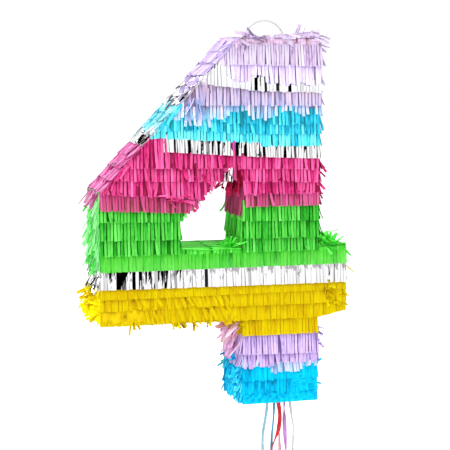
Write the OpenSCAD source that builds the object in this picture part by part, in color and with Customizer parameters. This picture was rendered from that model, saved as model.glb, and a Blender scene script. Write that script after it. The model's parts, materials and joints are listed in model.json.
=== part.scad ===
// Hanging pull-ribbon pinata in the shape of the figure 4.
// A hollow card carton carries rows of fringed tissue and mirror film. It hangs by a wire loop.
// A flap in the back takes the sweets in, and a trap door under the foot lets them out.
//
// Frame: origin at the top of the hanging loop, +Z up, -Y towards the front, +X to the right.
// Heights in the Number and Colour bands sections are measured up from the underside of the foot,
// and widths from the left end of the cross bar.

/* [Number] */
// Height of the number over its fringe
number_h = 420; // [412:1:430]
// Width of the number over its fringe
number_w = 289; // [280:1:300]
// Depth of the number over its fringe, front to back
number_d = 80; // [70:1:95]
// Distance from the left end to where the slope meets the top
slope_top_x = 159; // [154:1:160]
// Height of the left end's upper corner, where the slope starts
slope_foot_z = 248; // [240:1:256]
// Distance from the left end to the left side of the stem and foot
stem_left = 164.5; // [162:0.5:166]
// Distance from the left end to the right side of the stem and foot
stem_right = 255.5; // [253:0.5:260]
// Height of the cross bar's underside
bar_bottom = 99; // [95:1:104]
// Rise of the underside of the bar's right-hand stub, from the stem to its end
stub_rise = 7; // [0:0.5:10]
// Height of the cross bar's top, which is also the bottom of the hole
bar_top = 183; // [180:1:186]
// Distance from the left end to the left side of the hole
hole_left = 92; // [88:1:96]
// Height at which the hole's left side turns into its slope
hole_turn_z = 216; // [210:1:220]

/* [Card and tissue] */
// Thickness of the corrugated card
card_t = 3; // [2:0.5:4]
// Depth of the fringe on the front and back
face_fringe_t = 3; // [2.5:0.5:4]
// Depth of the fringe on the edges and in the hole
edge_fringe_t = 2; // [1.5:0.5:2.5]
// Space between neighbouring rows of fringe
row_gap = 0.3; // [0.2:0.1:0.5]
// Reach of a seam tape from its corner
tape_reach = 12; // [8:1:16]
// Thickness of a seam tape
tape_t = 0.6; // [0.4:0.1:1]

/* [Colour bands] */
// Height of the lower edge of the lilac crown
crown_bottom = 373; // [371:0.5:375]
// Height of the lower edge of the upper film band
upper_film_bottom = 358.5; // [356:0.5:361]
// Height of the lower edge of the lilac shoulder
shoulder_bottom = 328.5; // [326:0.5:331]
// Height of the lower edge of the blue band
blue_bottom = 299; // [297:0.5:301]
// Height of the lower edge of the middle film band
middle_film_bottom = 285; // [283:0.5:287]
// Height of the lower edge of the pink band
pink_bottom = 227; // [225:0.5:229]
// Height of the lower edge of the green band
green_bottom = 160; // [158:0.5:162]
// Height of the lower edge of the lower film band
lower_film_bottom = 139.5; // [137:0.5:142]
// Height of the lower edge of the yellow band
yellow_bottom = 80.5; // [78:0.5:83]
// Height of the lower edge of the foot's lilac band
foot_lilac_bottom = 36; // [34:0.5:38]

/* [Hanging loop] */
// Distance from the left end to the middle of the loop
loop_x = 200; // [195:1:205]
// Height of the loop above the top of the number
loop_rise = 20; // [18:1:24]
// Distance between the loop's two feet
loop_span = 46; // [38:1:46]
// Diameter of the loop's coated wire
loop_wire_d = 1.6; // [1.4:0.1:2.2]

/* [Trap door] */
// Width of the trap door's opening
door_w = 52; // [46:1:56]
// Depth of the trap door's opening, front to back
door_d = 42; // [38:1:44]
// Distance of the opening's middle to the right of the loop
door_x = 10; // [8:1:12]
// Place of the hinge line behind the number's mid-depth
door_hinge_y = 28; // [26:1:29]
// Clearance round the trap door and round the fill flap
flap_gap = 0.6; // [0.4:0.1:1]

/* [Fill flap] */
// Width of the fill flap's opening
fill_w = 60; // [50:1:62]
// Height of the fill flap's hinge line
fill_top_z = 371; // [369:1:372]
// Height of the fill flap's lower edge
fill_bottom_z = 300; // [299.5:0.5:310]
// Distance from the left end to the flap's left side
fill_x = 180; // [178:1:184]

/* [Pull ribbons] */
// Width of a ribbon, which is its cord solid's diameter
ribbon_w = 5; // [4:0.5:5]

/* [Hidden] */

half_d = number_d / 2;
panel_outer_y = half_d - face_fringe_t;
panel_inner_y = panel_outer_y - card_t;
slope_rise = (number_h - slope_foot_z) / slope_top_x;
slope_inset = sqrt(1 + slope_rise * slope_rise);
loop_z = number_h + loop_rise;

// The loop turns about the line through its feet, just above the top row of fringe.
hinge_above_top = 1.5;
loop_foot_r = 1.4;
loop_turn_rise = loop_rise - hinge_above_top - loop_wire_d / 2;
loop_r = (loop_span * loop_span / 4 + loop_turn_rise * loop_turn_rise) / (2 * loop_turn_rise);
loop_half_angle = acos((loop_r - loop_turn_rise) / loop_r);
loop_foot_gap = 0.3;
tail_clearance = 0.15;
tail_hole_r = loop_wire_d / 2 + tail_clearance;
pad_w = 52;
pad_d = 40;
knot_r = 2.4;

// How far a cutting solid runs past what it cuts
over = 1;
// How far the fringe is cut back beyond a hinge line, so that a flap can pass the square
hinge_relief = 0.8;

door_x0 = door_x - door_w / 2;
door_y0 = door_hinge_y - door_d;
door_tissue_back = 3.5;
pull_x = 18.5;
pull_y = -8;
pull_hole_r = 1.4;
pull_stem_r = 1.2;
// The neck ends this far above the place where the pull ribbon turns
neck_gap = 3;
pull_drop = 4;
pull_knot_r = 3.2;
knot_clearance = 0.05;
washer_r = 9;
washer_t = 1.2;
patch_x0 = -7;
patch_x1 = 33;
patch_y0 = -33.5;
patch_y1 = -18;

fill_fringe_top = 5;

lilac = [0.87, 0.78, 0.95];
film = [0.86, 0.87, 0.89];
blue = [0.18, 0.80, 0.94];
pink = [0.90, 0.26, 0.54];
green = [0.28, 0.80, 0.27];
yellow = [0.96, 0.83, 0.05];
card = [0.72, 0.58, 0.40];
kraft = [0.80, 0.68, 0.50];

// Outline of the number, drawn in by inset from the outside of its fringe
function outline(inset) =
    let (
        drop = inset * slope_inset,
        top = number_h - inset,
        slope_end = (top - slope_foot_z + drop) / slope_rise
    )
    [
        [inset, bar_bottom + inset],
        [inset, slope_foot_z + slope_rise * inset - drop],
        [slope_end, top],
        [stem_right - inset, top],
        [stem_right - inset, bar_top - inset],
        [number_w - inset, bar_top - inset],
        [number_w - inset, bar_bottom + stub_rise + inset],
        [stem_right - inset, bar_bottom + inset],
        [stem_right - inset, inset],
        [stem_left + inset, inset],
        [stem_left + inset, bar_bottom + inset]
    ];

// Outline of the hole through the number, widened by inset into the material
function hole(inset) =
    let (
        rise = inset * slope_inset,
        left = hole_left - inset,
        right = stem_left + inset
    )
    [
        [left, bar_top - inset],
        [left, hole_turn_z + slope_rise * (left - hole_left) + rise],
        [right, hole_turn_z + slope_rise * (right - hole_left) + rise],
        [right, bar_top - inset]
    ];

// Moves what is drawn from the left end and the foot to the row frame
module number_place() {
    translate([-loop_x, 0, -loop_z])
        children();
}

// Stands a drawing up in the front plane and makes it solid from depth y0 to y1
module across(y0, y1) {
    translate([0, y1, 0])
        rotate([90, 0, 0])
            linear_extrude(y1 - y0)
                children();
}

// ---- Carton ----

module panel_shape() {
    difference() {
        polygon(outline(edge_fringe_t));
        polygon(hole(edge_fringe_t));
    }
}

module fill_window(gap) {
    translate([fill_x + gap, fill_bottom_z + gap])
        square([fill_w - 2 * gap, fill_top_z - fill_bottom_z - 2 * gap]);
}

// The gap in the fringe round the fill flap, cut back above the hinge line
module fill_fringe_window() {
    translate([fill_x, fill_bottom_z])
        square([fill_w, fill_top_z + hinge_relief - fill_bottom_z]);
}

module front_panel() {
    color(card)
        number_place()
            across(-panel_outer_y, -panel_inner_y)
                panel_shape();
}

module back_panel() {
    color(card)
        number_place()
            across(panel_inner_y, panel_outer_y)
                difference() {
                    panel_shape();
                    fill_window(0);
                }
}

// One wall between the panels: side number i of a ring between two outlines, mitred at its ends
module wall(outer, inner, i) {
    j = (i + 1) % len(outer);
    color(kraft)
        number_place()
            across(-panel_inner_y, panel_inner_y)
                polygon([outer[i], outer[j], inner[j], inner[i]]);
}

module outer_wall(i) {
    wall(outline(edge_fringe_t), outline(edge_fringe_t + card_t), i);
}

module hole_wall(i) {
    wall(hole(edge_fringe_t), hole(edge_fringe_t + card_t), i);
}

module wall_left_end() { outer_wall(0); }
module wall_slope() { outer_wall(1); }
module wall_stem_right() { outer_wall(3); }
module wall_stub_top() { outer_wall(4); }
module wall_stub_end() { outer_wall(5); }
module wall_stub_underside() { outer_wall(6); }
module wall_foot_right() { outer_wall(7); }
module wall_foot_left() { outer_wall(9); }
module wall_bar_underside() { outer_wall(10); }
module hole_wall_left() { hole_wall(0); }
module hole_wall_slope() { hole_wall(1); }
module hole_wall_right() { hole_wall(2); }
module hole_wall_bottom() { hole_wall(3); }

module wall_top() {
    color(kraft)
        difference() {
            outer_wall(2);
            tail_holes();
        }
}

module foot_floor() {
    color(kraft)
        difference() {
            outer_wall(8);
            door_window(0);
        }
}

// Folded paper tapes in the corners where two walls meet
module corner_tapes(corners, outer, inner) {
    for (i = [0 : len(corners) - 1])
        across(-panel_inner_y, panel_inner_y)
            intersection() {
                difference() {
                    polygon(outer);
                    polygon(inner);
                }
                translate(corners[i])
                    circle(r = tape_reach, $fn = 48);
            }
}

module seam_tapes() {
    under_card = edge_fringe_t + card_t;
    color(kraft)
        number_place() {
            corner_tapes(outline(under_card), outline(under_card), outline(under_card + tape_t));
            corner_tapes(hole(under_card), hole(under_card + tape_t), hole(under_card));
        }
}

// ---- Hanging loop ----

module tail_holes() {
    depth = edge_fringe_t + 2 * card_t + over;
    for (side = [-1, 1])
        translate([side * loop_span / 2, 0, -loop_rise - depth])
            cylinder(r = tail_hole_r, h = depth + over, $fn = 32);
}

module loop_pad() {
    pad_top = -loop_rise - edge_fringe_t - card_t;
    color(card)
        difference() {
            translate([-pad_w / 2, -pad_d / 2, pad_top - card_t])
                cube([pad_w, pad_d, card_t]);
            tail_holes();
        }
}

// The wire's two tails run down through the top and the pad, and end in knots
module loop_tails() {
    tail_top = -loop_rise + hinge_above_top - loop_foot_r - loop_foot_gap;
    pad_bottom = -loop_rise - edge_fringe_t - 2 * card_t;
    color("whitesmoke")
        for (side = [-1, 1])
            translate([side * loop_span / 2, 0, 0]) {
                translate([0, 0, pad_bottom - knot_r])
                    cylinder(d = loop_wire_d, h = tail_top - pad_bottom + knot_r, $fn = 32);
                translate([0, 0, pad_bottom - knot_r])
                    sphere(r = knot_r, $fn = 32);
            }
}

module hanging_loop() {
    color("whitesmoke") {
        translate([0, 0, -loop_wire_d / 2 - loop_r])
            rotate([90, 0, 0])
                rotate([0, 0, 90 - loop_half_angle])
                    rotate_extrude(angle = 2 * loop_half_angle, $fn = 96)
                        translate([loop_r, 0])
                            circle(d = loop_wire_d, $fn = 24);
        for (side = [-1, 1])
            translate([side * loop_span / 2, 0, -loop_rise + hinge_above_top])
                sphere(r = loop_foot_r, $fn = 32);
    }
}

// ---- Trap door in the foot's floor ----

module door_window(relief) {
    translate([door_x0, door_y0, -loop_z - over])
        cube([door_w, door_d + relief, edge_fringe_t + card_t + 2 * over]);
}

module door_sheet(bottom, thickness, back_gap) {
    translate([door_x0 + flap_gap, door_y0 + flap_gap, bottom - loop_z])
        cube([door_w - 2 * flap_gap, door_d - flap_gap - back_gap, thickness]);
}

module pull_hole() {
    depth = edge_fringe_t + card_t + washer_t;
    translate([pull_x, pull_y, -loop_z - over])
        cylinder(r = pull_hole_r, h = depth + 2 * over, $fn = 32);
}

module trap_door() {
    color(card)
        difference() {
            door_sheet(edge_fringe_t, card_t, flap_gap);
            pull_hole();
        }
}

module trap_door_tissue() {
    color(blue)
        difference() {
            door_sheet(0, edge_fringe_t, door_tissue_back);
            pull_hole();
        }
}

module pull_washer() {
    color(kraft)
        difference() {
            translate([pull_x, pull_y, edge_fringe_t + card_t - loop_z])
                cylinder(r = washer_r, h = washer_t, $fn = 48);
            pull_hole();
        }
}

// The pull ribbon's knot rests on the washer, and its neck runs down through the door
module pull_knot() {
    seat = sqrt(pull_knot_r * pull_knot_r - pull_hole_r * pull_hole_r);
    knot_z = edge_fringe_t + card_t + washer_t + seat + knot_clearance;
    neck_bottom = neck_gap - pull_drop;
    color("hotpink")
        translate([pull_x, pull_y, -loop_z]) {
            translate([0, 0, knot_z])
                sphere(r = pull_knot_r, $fn = 40);
            translate([0, 0, neck_bottom])
                cylinder(r = pull_stem_r, h = knot_z - neck_bottom, $fn = 32);
        }
}

// Paper patch that holds the other ribbons to the underside, in front of the door
module ribbon_patch() {
    color(blue)
        translate([patch_x0, patch_y0, -loop_z])
            cube([patch_x1 - patch_x0, patch_y1 - patch_y0, edge_fringe_t]);
}

// ---- Fill flap in the back ----

module fill_flap() {
    color(card)
        number_place()
            across(panel_inner_y, panel_outer_y)
                fill_window(flap_gap);
}

module fill_flap_fringe() {
    color(lilac)
        number_place()
            for (edges = [
                [fill_bottom_z + flap_gap, shoulder_bottom],
                [shoulder_bottom, upper_film_bottom],
                [upper_film_bottom, fill_top_z - fill_fringe_top]
            ])
                across(panel_outer_y, half_d)
                    translate([fill_x + flap_gap, edges[0] + row_gap])
                        square([fill_w - 2 * flap_gap, edges[1] - edges[0] - row_gap]);
}

// ---- Fringe rows ----

module level(bottom, top) {
    start = bottom > 0 ? bottom + row_gap : bottom;
    intersection() {
        children();
        translate([-over, start])
            square([number_w + 2 * over, top - start]);
    }
}

// One row of fringe all round: a front strip, a back strip, and strips on the edges and in the hole
module row(bottom, top) {
    number_place() {
        across(-half_d, -panel_outer_y)
            level(bottom, top)
                face_shape();
        across(panel_outer_y, half_d)
            level(bottom, top)
                difference() {
                    face_shape();
                    fill_fringe_window();
                }
        across(-panel_outer_y + row_gap, panel_outer_y - row_gap)
            level(bottom, top)
                edge_shape();
    }
}

module face_shape() {
    difference() {
        polygon(outline(0));
        polygon(hole(0));
    }
}

module edge_shape() {
    difference() {
        polygon(outline(0));
        polygon(outline(edge_fringe_t));
    }
    difference() {
        polygon(hole(edge_fringe_t));
        polygon(hole(0));
    }
}

module rows(bottom, top, count) {
    height = (top - bottom) / count;
    for (i = [0 : count - 1])
        row(bottom + i * height, bottom + (i + 1) * height);
}

module crown_lilac_rows() {
    color(lilac)
        difference() {
            rows(crown_bottom, number_h, 3);
            tail_holes();
        }
}

module upper_film_row() {
    color(film)
        rows(upper_film_bottom, crown_bottom, 1);
}

module shoulder_lilac_rows() {
    color(lilac)
        rows(shoulder_bottom, upper_film_bottom, 2);
}

module blue_rows() {
    color(blue)
        rows(blue_bottom, shoulder_bottom, 2);
}

module middle_film_row() {
    color(film)
        rows(middle_film_bottom, blue_bottom, 1);
}

module pink_rows() {
    color(pink)
        rows(pink_bottom, middle_film_bottom, 4);
}

module green_rows() {
    color(green)
        rows(green_bottom, pink_bottom, 4);
}

module lower_film_row() {
    color(film)
        rows(lower_film_bottom, green_bottom, 1);
}

module yellow_rows() {
    color(yellow)
        rows(yellow_bottom, lower_film_bottom, 4);
}

module foot_lilac_rows() {
    color(lilac)
        rows(foot_lilac_bottom, yellow_bottom, 3);
}

module foot_blue_rows() {
    color(blue)
        difference() {
            rows(0, foot_lilac_bottom, 2);
            door_window(hinge_relief);
            translate([patch_x0, patch_y0, -loop_z - over])
                cube([patch_x1 - patch_x0, patch_y1 - patch_y0, edge_fringe_t + 2 * over]);
        }
}

// ---- Pull ribbons ----

// Each route is a list of [x, y, z] points, with z measured from the underside of the foot.
pull_route = [
    [18.5, -8, -4], [18.5, -8, -14], [18, -8, -28], [18.5, -8, -45], [19.5, -8, -64],
    [21, -7, -88], [22, -6, -113], [20, -6, -140], [17, -7, -168], [16, -8, -198],
    [17, -8, -228], [19, -7, -262], [20, -6, -300]
];
pale_blue_route = [
    [-1, -22, 0], [-1.5, -22, -12], [-4, -22, -28], [-6, -22, -42], [-6, -22, -62],
    [-5, -23, -85], [-7, -24, -110], [-10, -24, -137], [-11, -23, -165], [-9, -22, -195],
    [-8, -22, -225], [-10, -23, -260], [-12, -24, -298]
];
teal_route = [
    [7.5, -22, 0], [7.5, -22, -12], [6.5, -22, -28], [5.5, -21, -42], [5.5, -20, -62],
    [7, -20, -85], [8, -20, -110], [6, -21, -137], [3, -22, -165], [2, -22, -195],
    [3, -21, -225], [4, -21, -260], [3, -22, -298]
];
red_route = [
    [10, -29, 0], [12, -29, -11], [12.5, -29, -22], [10.5, -29, -36], [6.5, -29, -46],
    [0.5, -30, -62], [-4, -31, -85], [-5, -31, -110], [-2, -30, -137], [0, -30, -165],
    [-2, -31, -200], [-4, -31, -245], [-1, -30, -296]
];
orchid_route = [
    [20, -22, 0], [20, -22, -12], [20.5, -22, -24], [21, -22, -38], [22.5, -22, -62],
    [23, -22, -85], [21, -22, -110], [18, -21, -137], [17, -20, -165], [19, -20, -195],
    [21, -21, -225], [21, -22, -260], [19, -22, -297]
];
white_route = [
    [26.5, -22, 0], [28, -22, -12], [29.5, -22, -22], [31.5, -22, -34], [31, -22, -60],
    [30, -23, -85], [31, -24, -110], [34, -24, -137], [35, -23, -165], [33, -22, -195],
    [31, -22, -225], [32, -23, -260], [34, -23, -299]
];

function unit(v) = v / norm(v);

// Points of the ring of a tube at point i of its route
function ring(route, i, r, sides) =
    let (
        last = len(route) - 1,
        along = unit(route[min(i + 1, last)] - route[max(i - 1, 0)]),
        flat = i == 0 || i == last,
        axis = flat ? [0, 0, -1] : along,
        u = unit(cross(axis, [0, 1, 0])),
        v = cross(axis, u)
    )
    [for (k = [0 : sides - 1]) route[i] + r * (cos(360 * k / sides) * u + sin(360 * k / sides) * v)];

// A round tube swept along a route
module tube(route, d, sides) {
    count = len(route);
    points = [for (i = [0 : count - 1]) each ring(route, i, d / 2, sides)];
    start_cap = [for (k = [0 : sides - 1]) k];
    end_cap = [for (k = [sides - 1 : -1 : 0]) (count - 1) * sides + k];
    skin = [
        for (i = [0 : count - 2], k = [0 : sides - 1])
            let (next = (k + 1) % sides)
            [i * sides + next, i * sides + k, (i + 1) * sides + k, (i + 1) * sides + next]
    ];
    polyhedron(points = points, faces = concat([start_cap, end_cap], skin));
}

module ribbon(route) {
    translate([0, 0, -loop_z])
        tube(route, ribbon_w, 8);
}

module pull_ribbon() {
    color("pink")
        ribbon(pull_route);
}

module pale_blue_ribbon() {
    color("powderblue")
        ribbon(pale_blue_route);
}

module teal_ribbon() {
    color("teal")
        ribbon(teal_route);
}

module red_ribbon() {
    color("crimson")
        ribbon(red_route);
}

module orchid_ribbon() {
    color("orchid")
        ribbon(orchid_route);
}

module white_ribbon() {
    color("whitesmoke")
        ribbon(white_route);
}

front_panel();
back_panel();
wall_top();
wall_slope();
wall_left_end();
wall_bar_underside();
wall_foot_left();
foot_floor();
wall_foot_right();
wall_stub_underside();
wall_stub_end();
wall_stub_top();
wall_stem_right();
hole_wall_left();
hole_wall_slope();
hole_wall_right();
hole_wall_bottom();
seam_tapes();
loop_pad();
loop_tails();
hanging_loop();
trap_door();
trap_door_tissue();
pull_washer();
pull_knot();
ribbon_patch();
fill_flap();
fill_flap_fringe();
crown_lilac_rows();
upper_film_row();
shoulder_lilac_rows();
blue_rows();
middle_film_row();
pink_rows();
green_rows();
lower_film_row();
yellow_rows();
foot_lilac_rows();
foot_blue_rows();
pull_ribbon();
pale_blue_ribbon();
teal_ribbon();
red_ribbon();
orchid_ribbon();
white_ribbon();
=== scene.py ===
import json
import math
from functools import cache

import bpy
import numpy as np
from mathutils import Matrix, Vector


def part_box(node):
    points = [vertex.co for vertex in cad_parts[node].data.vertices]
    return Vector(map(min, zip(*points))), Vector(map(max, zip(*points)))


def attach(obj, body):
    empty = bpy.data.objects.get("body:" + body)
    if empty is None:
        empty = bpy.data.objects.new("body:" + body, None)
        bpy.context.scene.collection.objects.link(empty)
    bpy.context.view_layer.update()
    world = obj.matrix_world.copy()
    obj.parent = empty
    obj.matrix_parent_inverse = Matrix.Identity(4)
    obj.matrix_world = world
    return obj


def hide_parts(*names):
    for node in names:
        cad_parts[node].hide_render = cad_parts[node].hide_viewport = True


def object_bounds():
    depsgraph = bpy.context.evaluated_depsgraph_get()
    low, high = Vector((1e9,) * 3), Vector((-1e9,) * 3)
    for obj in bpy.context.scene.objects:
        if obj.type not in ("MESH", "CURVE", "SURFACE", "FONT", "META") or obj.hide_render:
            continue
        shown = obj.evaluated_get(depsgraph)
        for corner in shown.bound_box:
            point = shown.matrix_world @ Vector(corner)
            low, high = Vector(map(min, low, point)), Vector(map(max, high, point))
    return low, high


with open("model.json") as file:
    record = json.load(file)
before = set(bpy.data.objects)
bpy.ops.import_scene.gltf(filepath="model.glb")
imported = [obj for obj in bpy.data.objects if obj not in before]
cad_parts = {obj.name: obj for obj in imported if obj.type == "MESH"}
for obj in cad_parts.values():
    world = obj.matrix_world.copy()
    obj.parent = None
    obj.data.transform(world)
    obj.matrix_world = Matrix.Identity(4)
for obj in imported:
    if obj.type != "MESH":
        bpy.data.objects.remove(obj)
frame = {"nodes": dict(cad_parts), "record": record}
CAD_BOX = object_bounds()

# Everything below is worked out in millimetres in the number's own measures: x from the left end of
# the cross bar, y from mid-depth (the front is negative), z up from the underside of the foot.
LEFT_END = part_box("lower_film_row")[0][0]
FOOT_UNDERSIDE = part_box("foot_blue_rows")[0][2]


def measure(node, corner, axis):
    """A CAD node's lowest (corner 0) or highest (corner 1) place along an axis, in these measures."""
    start = (LEFT_END, 0.0, FOOT_UNDERSIDE)[axis]
    return (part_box(node)[corner][axis] - start) * 1000


WIDTH = measure("lower_film_row", 1, 0)
HEIGHT = measure("crown_lilac_rows", 1, 2)
FACE_Y = measure("front_panel", 0, 1)  # outer face of the front card
STEM_LEFT = measure("foot_lilac_rows", 0, 0)
STEM_RIGHT = measure("foot_lilac_rows", 1, 0)
EDGE = measure("front_panel", 0, 0)  # depth of the fringe on the edges
BAR_BOTTOM = measure("wall_bar_underside", 0, 2) - EDGE
BAR_TOP = measure("wall_stub_top", 1, 2) + EDGE
HOLE_LEFT = measure("hole_wall_left", 1, 0) + EDGE
STUB_RISE = measure("wall_stub_end", 0, 2) - EDGE - BAR_BOTTOM
SLOPE_TOP_X = 159.0  # where the slope meets the top
SLOPE_FOOT_Z = 248.0  # where the slope meets the left end
HOLE_TURN_Z = 216.0  # where the hole's left side turns into its slope
SLOPE = (HEIGHT - SLOPE_FOOT_Z) / SLOPE_TOP_X
SLOPE_STRETCH = math.sqrt(1 + 1 / SLOPE ** 2)  # length along the slope for each millimetre of height


def to_row(points):
    """Points in the number's measures as metres in the row frame."""
    points = np.asarray(points, dtype=float) * 0.001
    return points + np.array((LEFT_END, 0.0, FOOT_UNDERSIDE))


# ---------------------------------------------------------------- camera

CAMERA_PLACE = (-281.0, -1548.0, 388.5)
CAMERA_YAW = math.radians(15.69)  # to the right of straight ahead
CAMERA_PITCH = math.radians(6.53)  # downwards
CAMERA_ROLL = math.radians(0.12)
CAMERA_LENS = 112.0


def make_camera():
    data = bpy.data.cameras.new("camera")
    data.lens = CAMERA_LENS
    data.sensor_width = 36.0
    data.clip_end = 100.0
    camera = bpy.data.objects.new("camera", data)
    bpy.context.collection.objects.link(camera)
    turn = Matrix.Rotation(-CAMERA_YAW, 4, "Z") @ Matrix.Rotation(math.pi / 2 - CAMERA_PITCH, 4, "X")
    turn = turn @ Matrix.Rotation(CAMERA_ROLL, 4, "Z")
    camera.matrix_world = Matrix.Translation(Vector(to_row(CAMERA_PLACE))) @ turn
    bpy.context.scene.camera = camera


# ---------------------------------------------------------------- meshes

def link(name, verts, faces, material, attribute=None, smooth=False):
    """A mesh object in the row frame from points in metres, with an optional colour attribute per vertex."""
    mesh = bpy.data.meshes.new(name)
    mesh.from_pydata([tuple(v) for v in verts], [], [tuple(f) for f in faces])
    mesh.materials.append(material)
    if attribute is not None:
        layer = mesh.color_attributes.new("fringe", "FLOAT_COLOR", "POINT")
        layer.data.foreach_set("color", np.asarray(attribute, dtype=np.float32).ravel())
    if smooth:
        mesh.polygons.foreach_set("use_smooth", [True] * len(mesh.polygons))
    mesh.update()
    piece = bpy.data.objects.new(name, mesh)
    bpy.context.collection.objects.link(piece)
    return piece


def put(piece, body, node, slot_name):
    """Rides the piece on a body, in place of a CAD node, which it hides. slot_name is not used."""
    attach(piece, body)
    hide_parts(node)
    return piece


def box_tube_faces(count, rings):
    """Faces of count closed tubes of so many rings of four corners, in the order that strips() lays them."""
    one = []
    for i in range(rings - 1):
        for k in range(4):
            a, b = i * 4 + k, i * 4 + (k + 1) % 4
            one.append((a, b, b + 4, a + 4))
    one.append((3, 2, 1, 0))
    last = (rings - 1) * 4
    one.append((last, last + 1, last + 2, last + 3))
    one = np.array(one)
    return (one[None] + (np.arange(count) * rings * 4)[:, None, None]).reshape(-1, 4)


class Face:
    """A flat face of the number. A point on it is origin + u * across + h * up + n * out, in millimetres."""

    def __init__(self, origin, across, up, out, stretch=1.0):
        self.origin = np.array(origin, dtype=float)
        self.across = np.array(across, dtype=float)
        self.up = np.array(up, dtype=float)
        self.out = np.array(out, dtype=float)
        self.stretch = stretch
        # the corners of a strip's section run the other way round where the face is left-handed
        self.mirrored = np.dot(np.cross(self.across, self.up), self.out) < 0

    def points(self, u, h, n):
        return self.origin + u[..., None] * self.across + h[..., None] * self.up + n[..., None] * self.out


def strips(face, u, h, length, width, thick, n, lean=0.0, bend=0.0, lift=0.0, curl=0.0, roll=0.0, twist=0.0,
           slant=0.0, rings=5):
    """Closed paper strips on a face. Each runs from (u, h) at height n off the face, down the face.

    lean turns it in the face's plane and bend adds to that along it. lift turns it away from the face
    and curl adds to that towards its tip. roll turns it about its own length and twist adds to that
    towards its tip. Angles are in radians. slant is how steeply its glued end is cut.
    """
    u, h, length, width, thick, n, lean, bend, lift, curl, roll, twist, slant = (
        np.broadcast_to(np.asarray(x, dtype=float), np.shape(u)).astype(float)
        for x in (u, h, length, width, thick, n, lean, bend, lift, curl, roll, twist, slant)
    )
    s = np.linspace(0, 1, rings)
    mid = (s[1:] + s[:-1]) / 2
    step = (length / (rings - 1))[:, None]
    way = lean[:, None] + bend[:, None] * mid
    rise = lift[:, None] + curl[:, None] * mid ** 2
    zero = np.zeros((len(u), 1))
    du = np.concatenate([zero, np.cumsum(step * np.sin(way) * np.cos(rise), 1)], 1)
    dh = np.concatenate([zero, np.cumsum(-step * np.cos(way) * np.cos(rise), 1)], 1)
    dn = np.concatenate([zero, np.cumsum(step * np.sin(rise), 1)], 1)
    centre = face.points(u[:, None] + du, h[:, None] + dh, n[:, None] + dn)
    way_s = lean[:, None] + bend[:, None] * s
    rise_s = lift[:, None] + curl[:, None] * s ** 2
    wide = np.cos(way_s)[..., None] * face.across + np.sin(way_s)[..., None] * face.up
    along = (
        (np.sin(way_s) * np.cos(rise_s))[..., None] * face.across
        - (np.cos(way_s) * np.cos(rise_s))[..., None] * face.up
        + np.sin(rise_s)[..., None] * face.out
    )
    thin = np.cross(wide, along)
    if not face.mirrored:
        thin = -thin
    turn = (roll[:, None] + twist[:, None] * s)[..., None]
    wide, thin = np.cos(turn) * wide + np.sin(turn) * thin, np.cos(turn) * thin - np.sin(turn) * wide
    half_w = (width / 2)[:, None, None] * wide
    half_w[:, 0] += (slant * width / 2)[:, None] * face.up
    half_t = (thick / 2)[:, None, None] * thin
    left, right = centre - half_w, centre + half_w
    corners = [left - half_t, right - half_t, right + half_t, left + half_t]
    if face.mirrored:
        corners.reverse()
    verts = np.stack(corners, 2).reshape(-1, 3)
    return verts, box_tube_faces(len(u), rings), s


def streamers(rng, starts, ways, length, width, thick=0.25, droop=0.0, curl=0.0, rings=8):
    """Closed paper strips that leave the fringe and run free from starts in the directions ways.

    droop is how fast they bend down, and curl how fast they bend to a side of their own, in radians
    for each millimetre.
    """
    count = len(starts)
    step = np.broadcast_to(length, count)[:, None] / (rings - 1)
    way = ways / np.linalg.norm(ways, axis=1)[:, None]
    side = rng.normal(size=(count, 3))
    side -= (side * way).sum(1)[:, None] * way
    side /= np.linalg.norm(side, axis=1)[:, None]
    place, rows = starts.astype(float), []
    bend = np.broadcast_to(curl, count)[:, None]
    down = np.array((0.0, 0.0, -1.0))
    for _ in range(rings):
        thin = np.cross(way, side)
        a = side * np.broadcast_to(width, count)[:, None] / 2
        b = thin * thick / 2
        rows.append(np.stack([place - a - b, place + a - b, place + a + b, place - a + b], 1))
        place = place + way * step
        way = way + step * (droop * down + bend * thin)
        way /= np.linalg.norm(way, axis=1)[:, None]
        side -= (side * way).sum(1)[:, None] * way
        side /= np.linalg.norm(side, axis=1)[:, None]
    verts = np.stack(rows, 1).reshape(-1, 3)
    return verts, box_tube_faces(count, rings)[:, ::-1], np.linspace(0, 1, rings)


class Paper:
    """Gathers strips into one piece, with each strip's own shade and each point's place along its strip."""

    def __init__(self):
        self.verts, self.faces, self.marks, self.count = [], [], [], 0

    def add(self, rng, made, shade=0.0, spread=1.0):
        verts, faces, s = made
        number = len(verts) // (4 * len(s))
        if not number:
            return
        tint = np.clip(0.5 + shade + spread * rng.normal(0, 0.22, number), 0, 1)
        hue = rng.random(number)
        marks = np.ones((number, len(s), 4, 4))
        marks[..., 0] = tint[:, None, None]
        marks[..., 1] = s[None, :, None]
        marks[..., 2] = hue[:, None, None]
        self.verts.append(verts)
        self.faces.append(faces + self.count)
        self.marks.append(marks.reshape(-1, 4))
        self.count += len(verts)

    def piece(self, name, material):
        verts, faces, marks = (np.concatenate(part) for part in (self.verts, self.faces, self.marks))
        return link(name, to_row(verts), faces, material, marks)


# ---------------------------------------------------------------- ribbons

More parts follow.
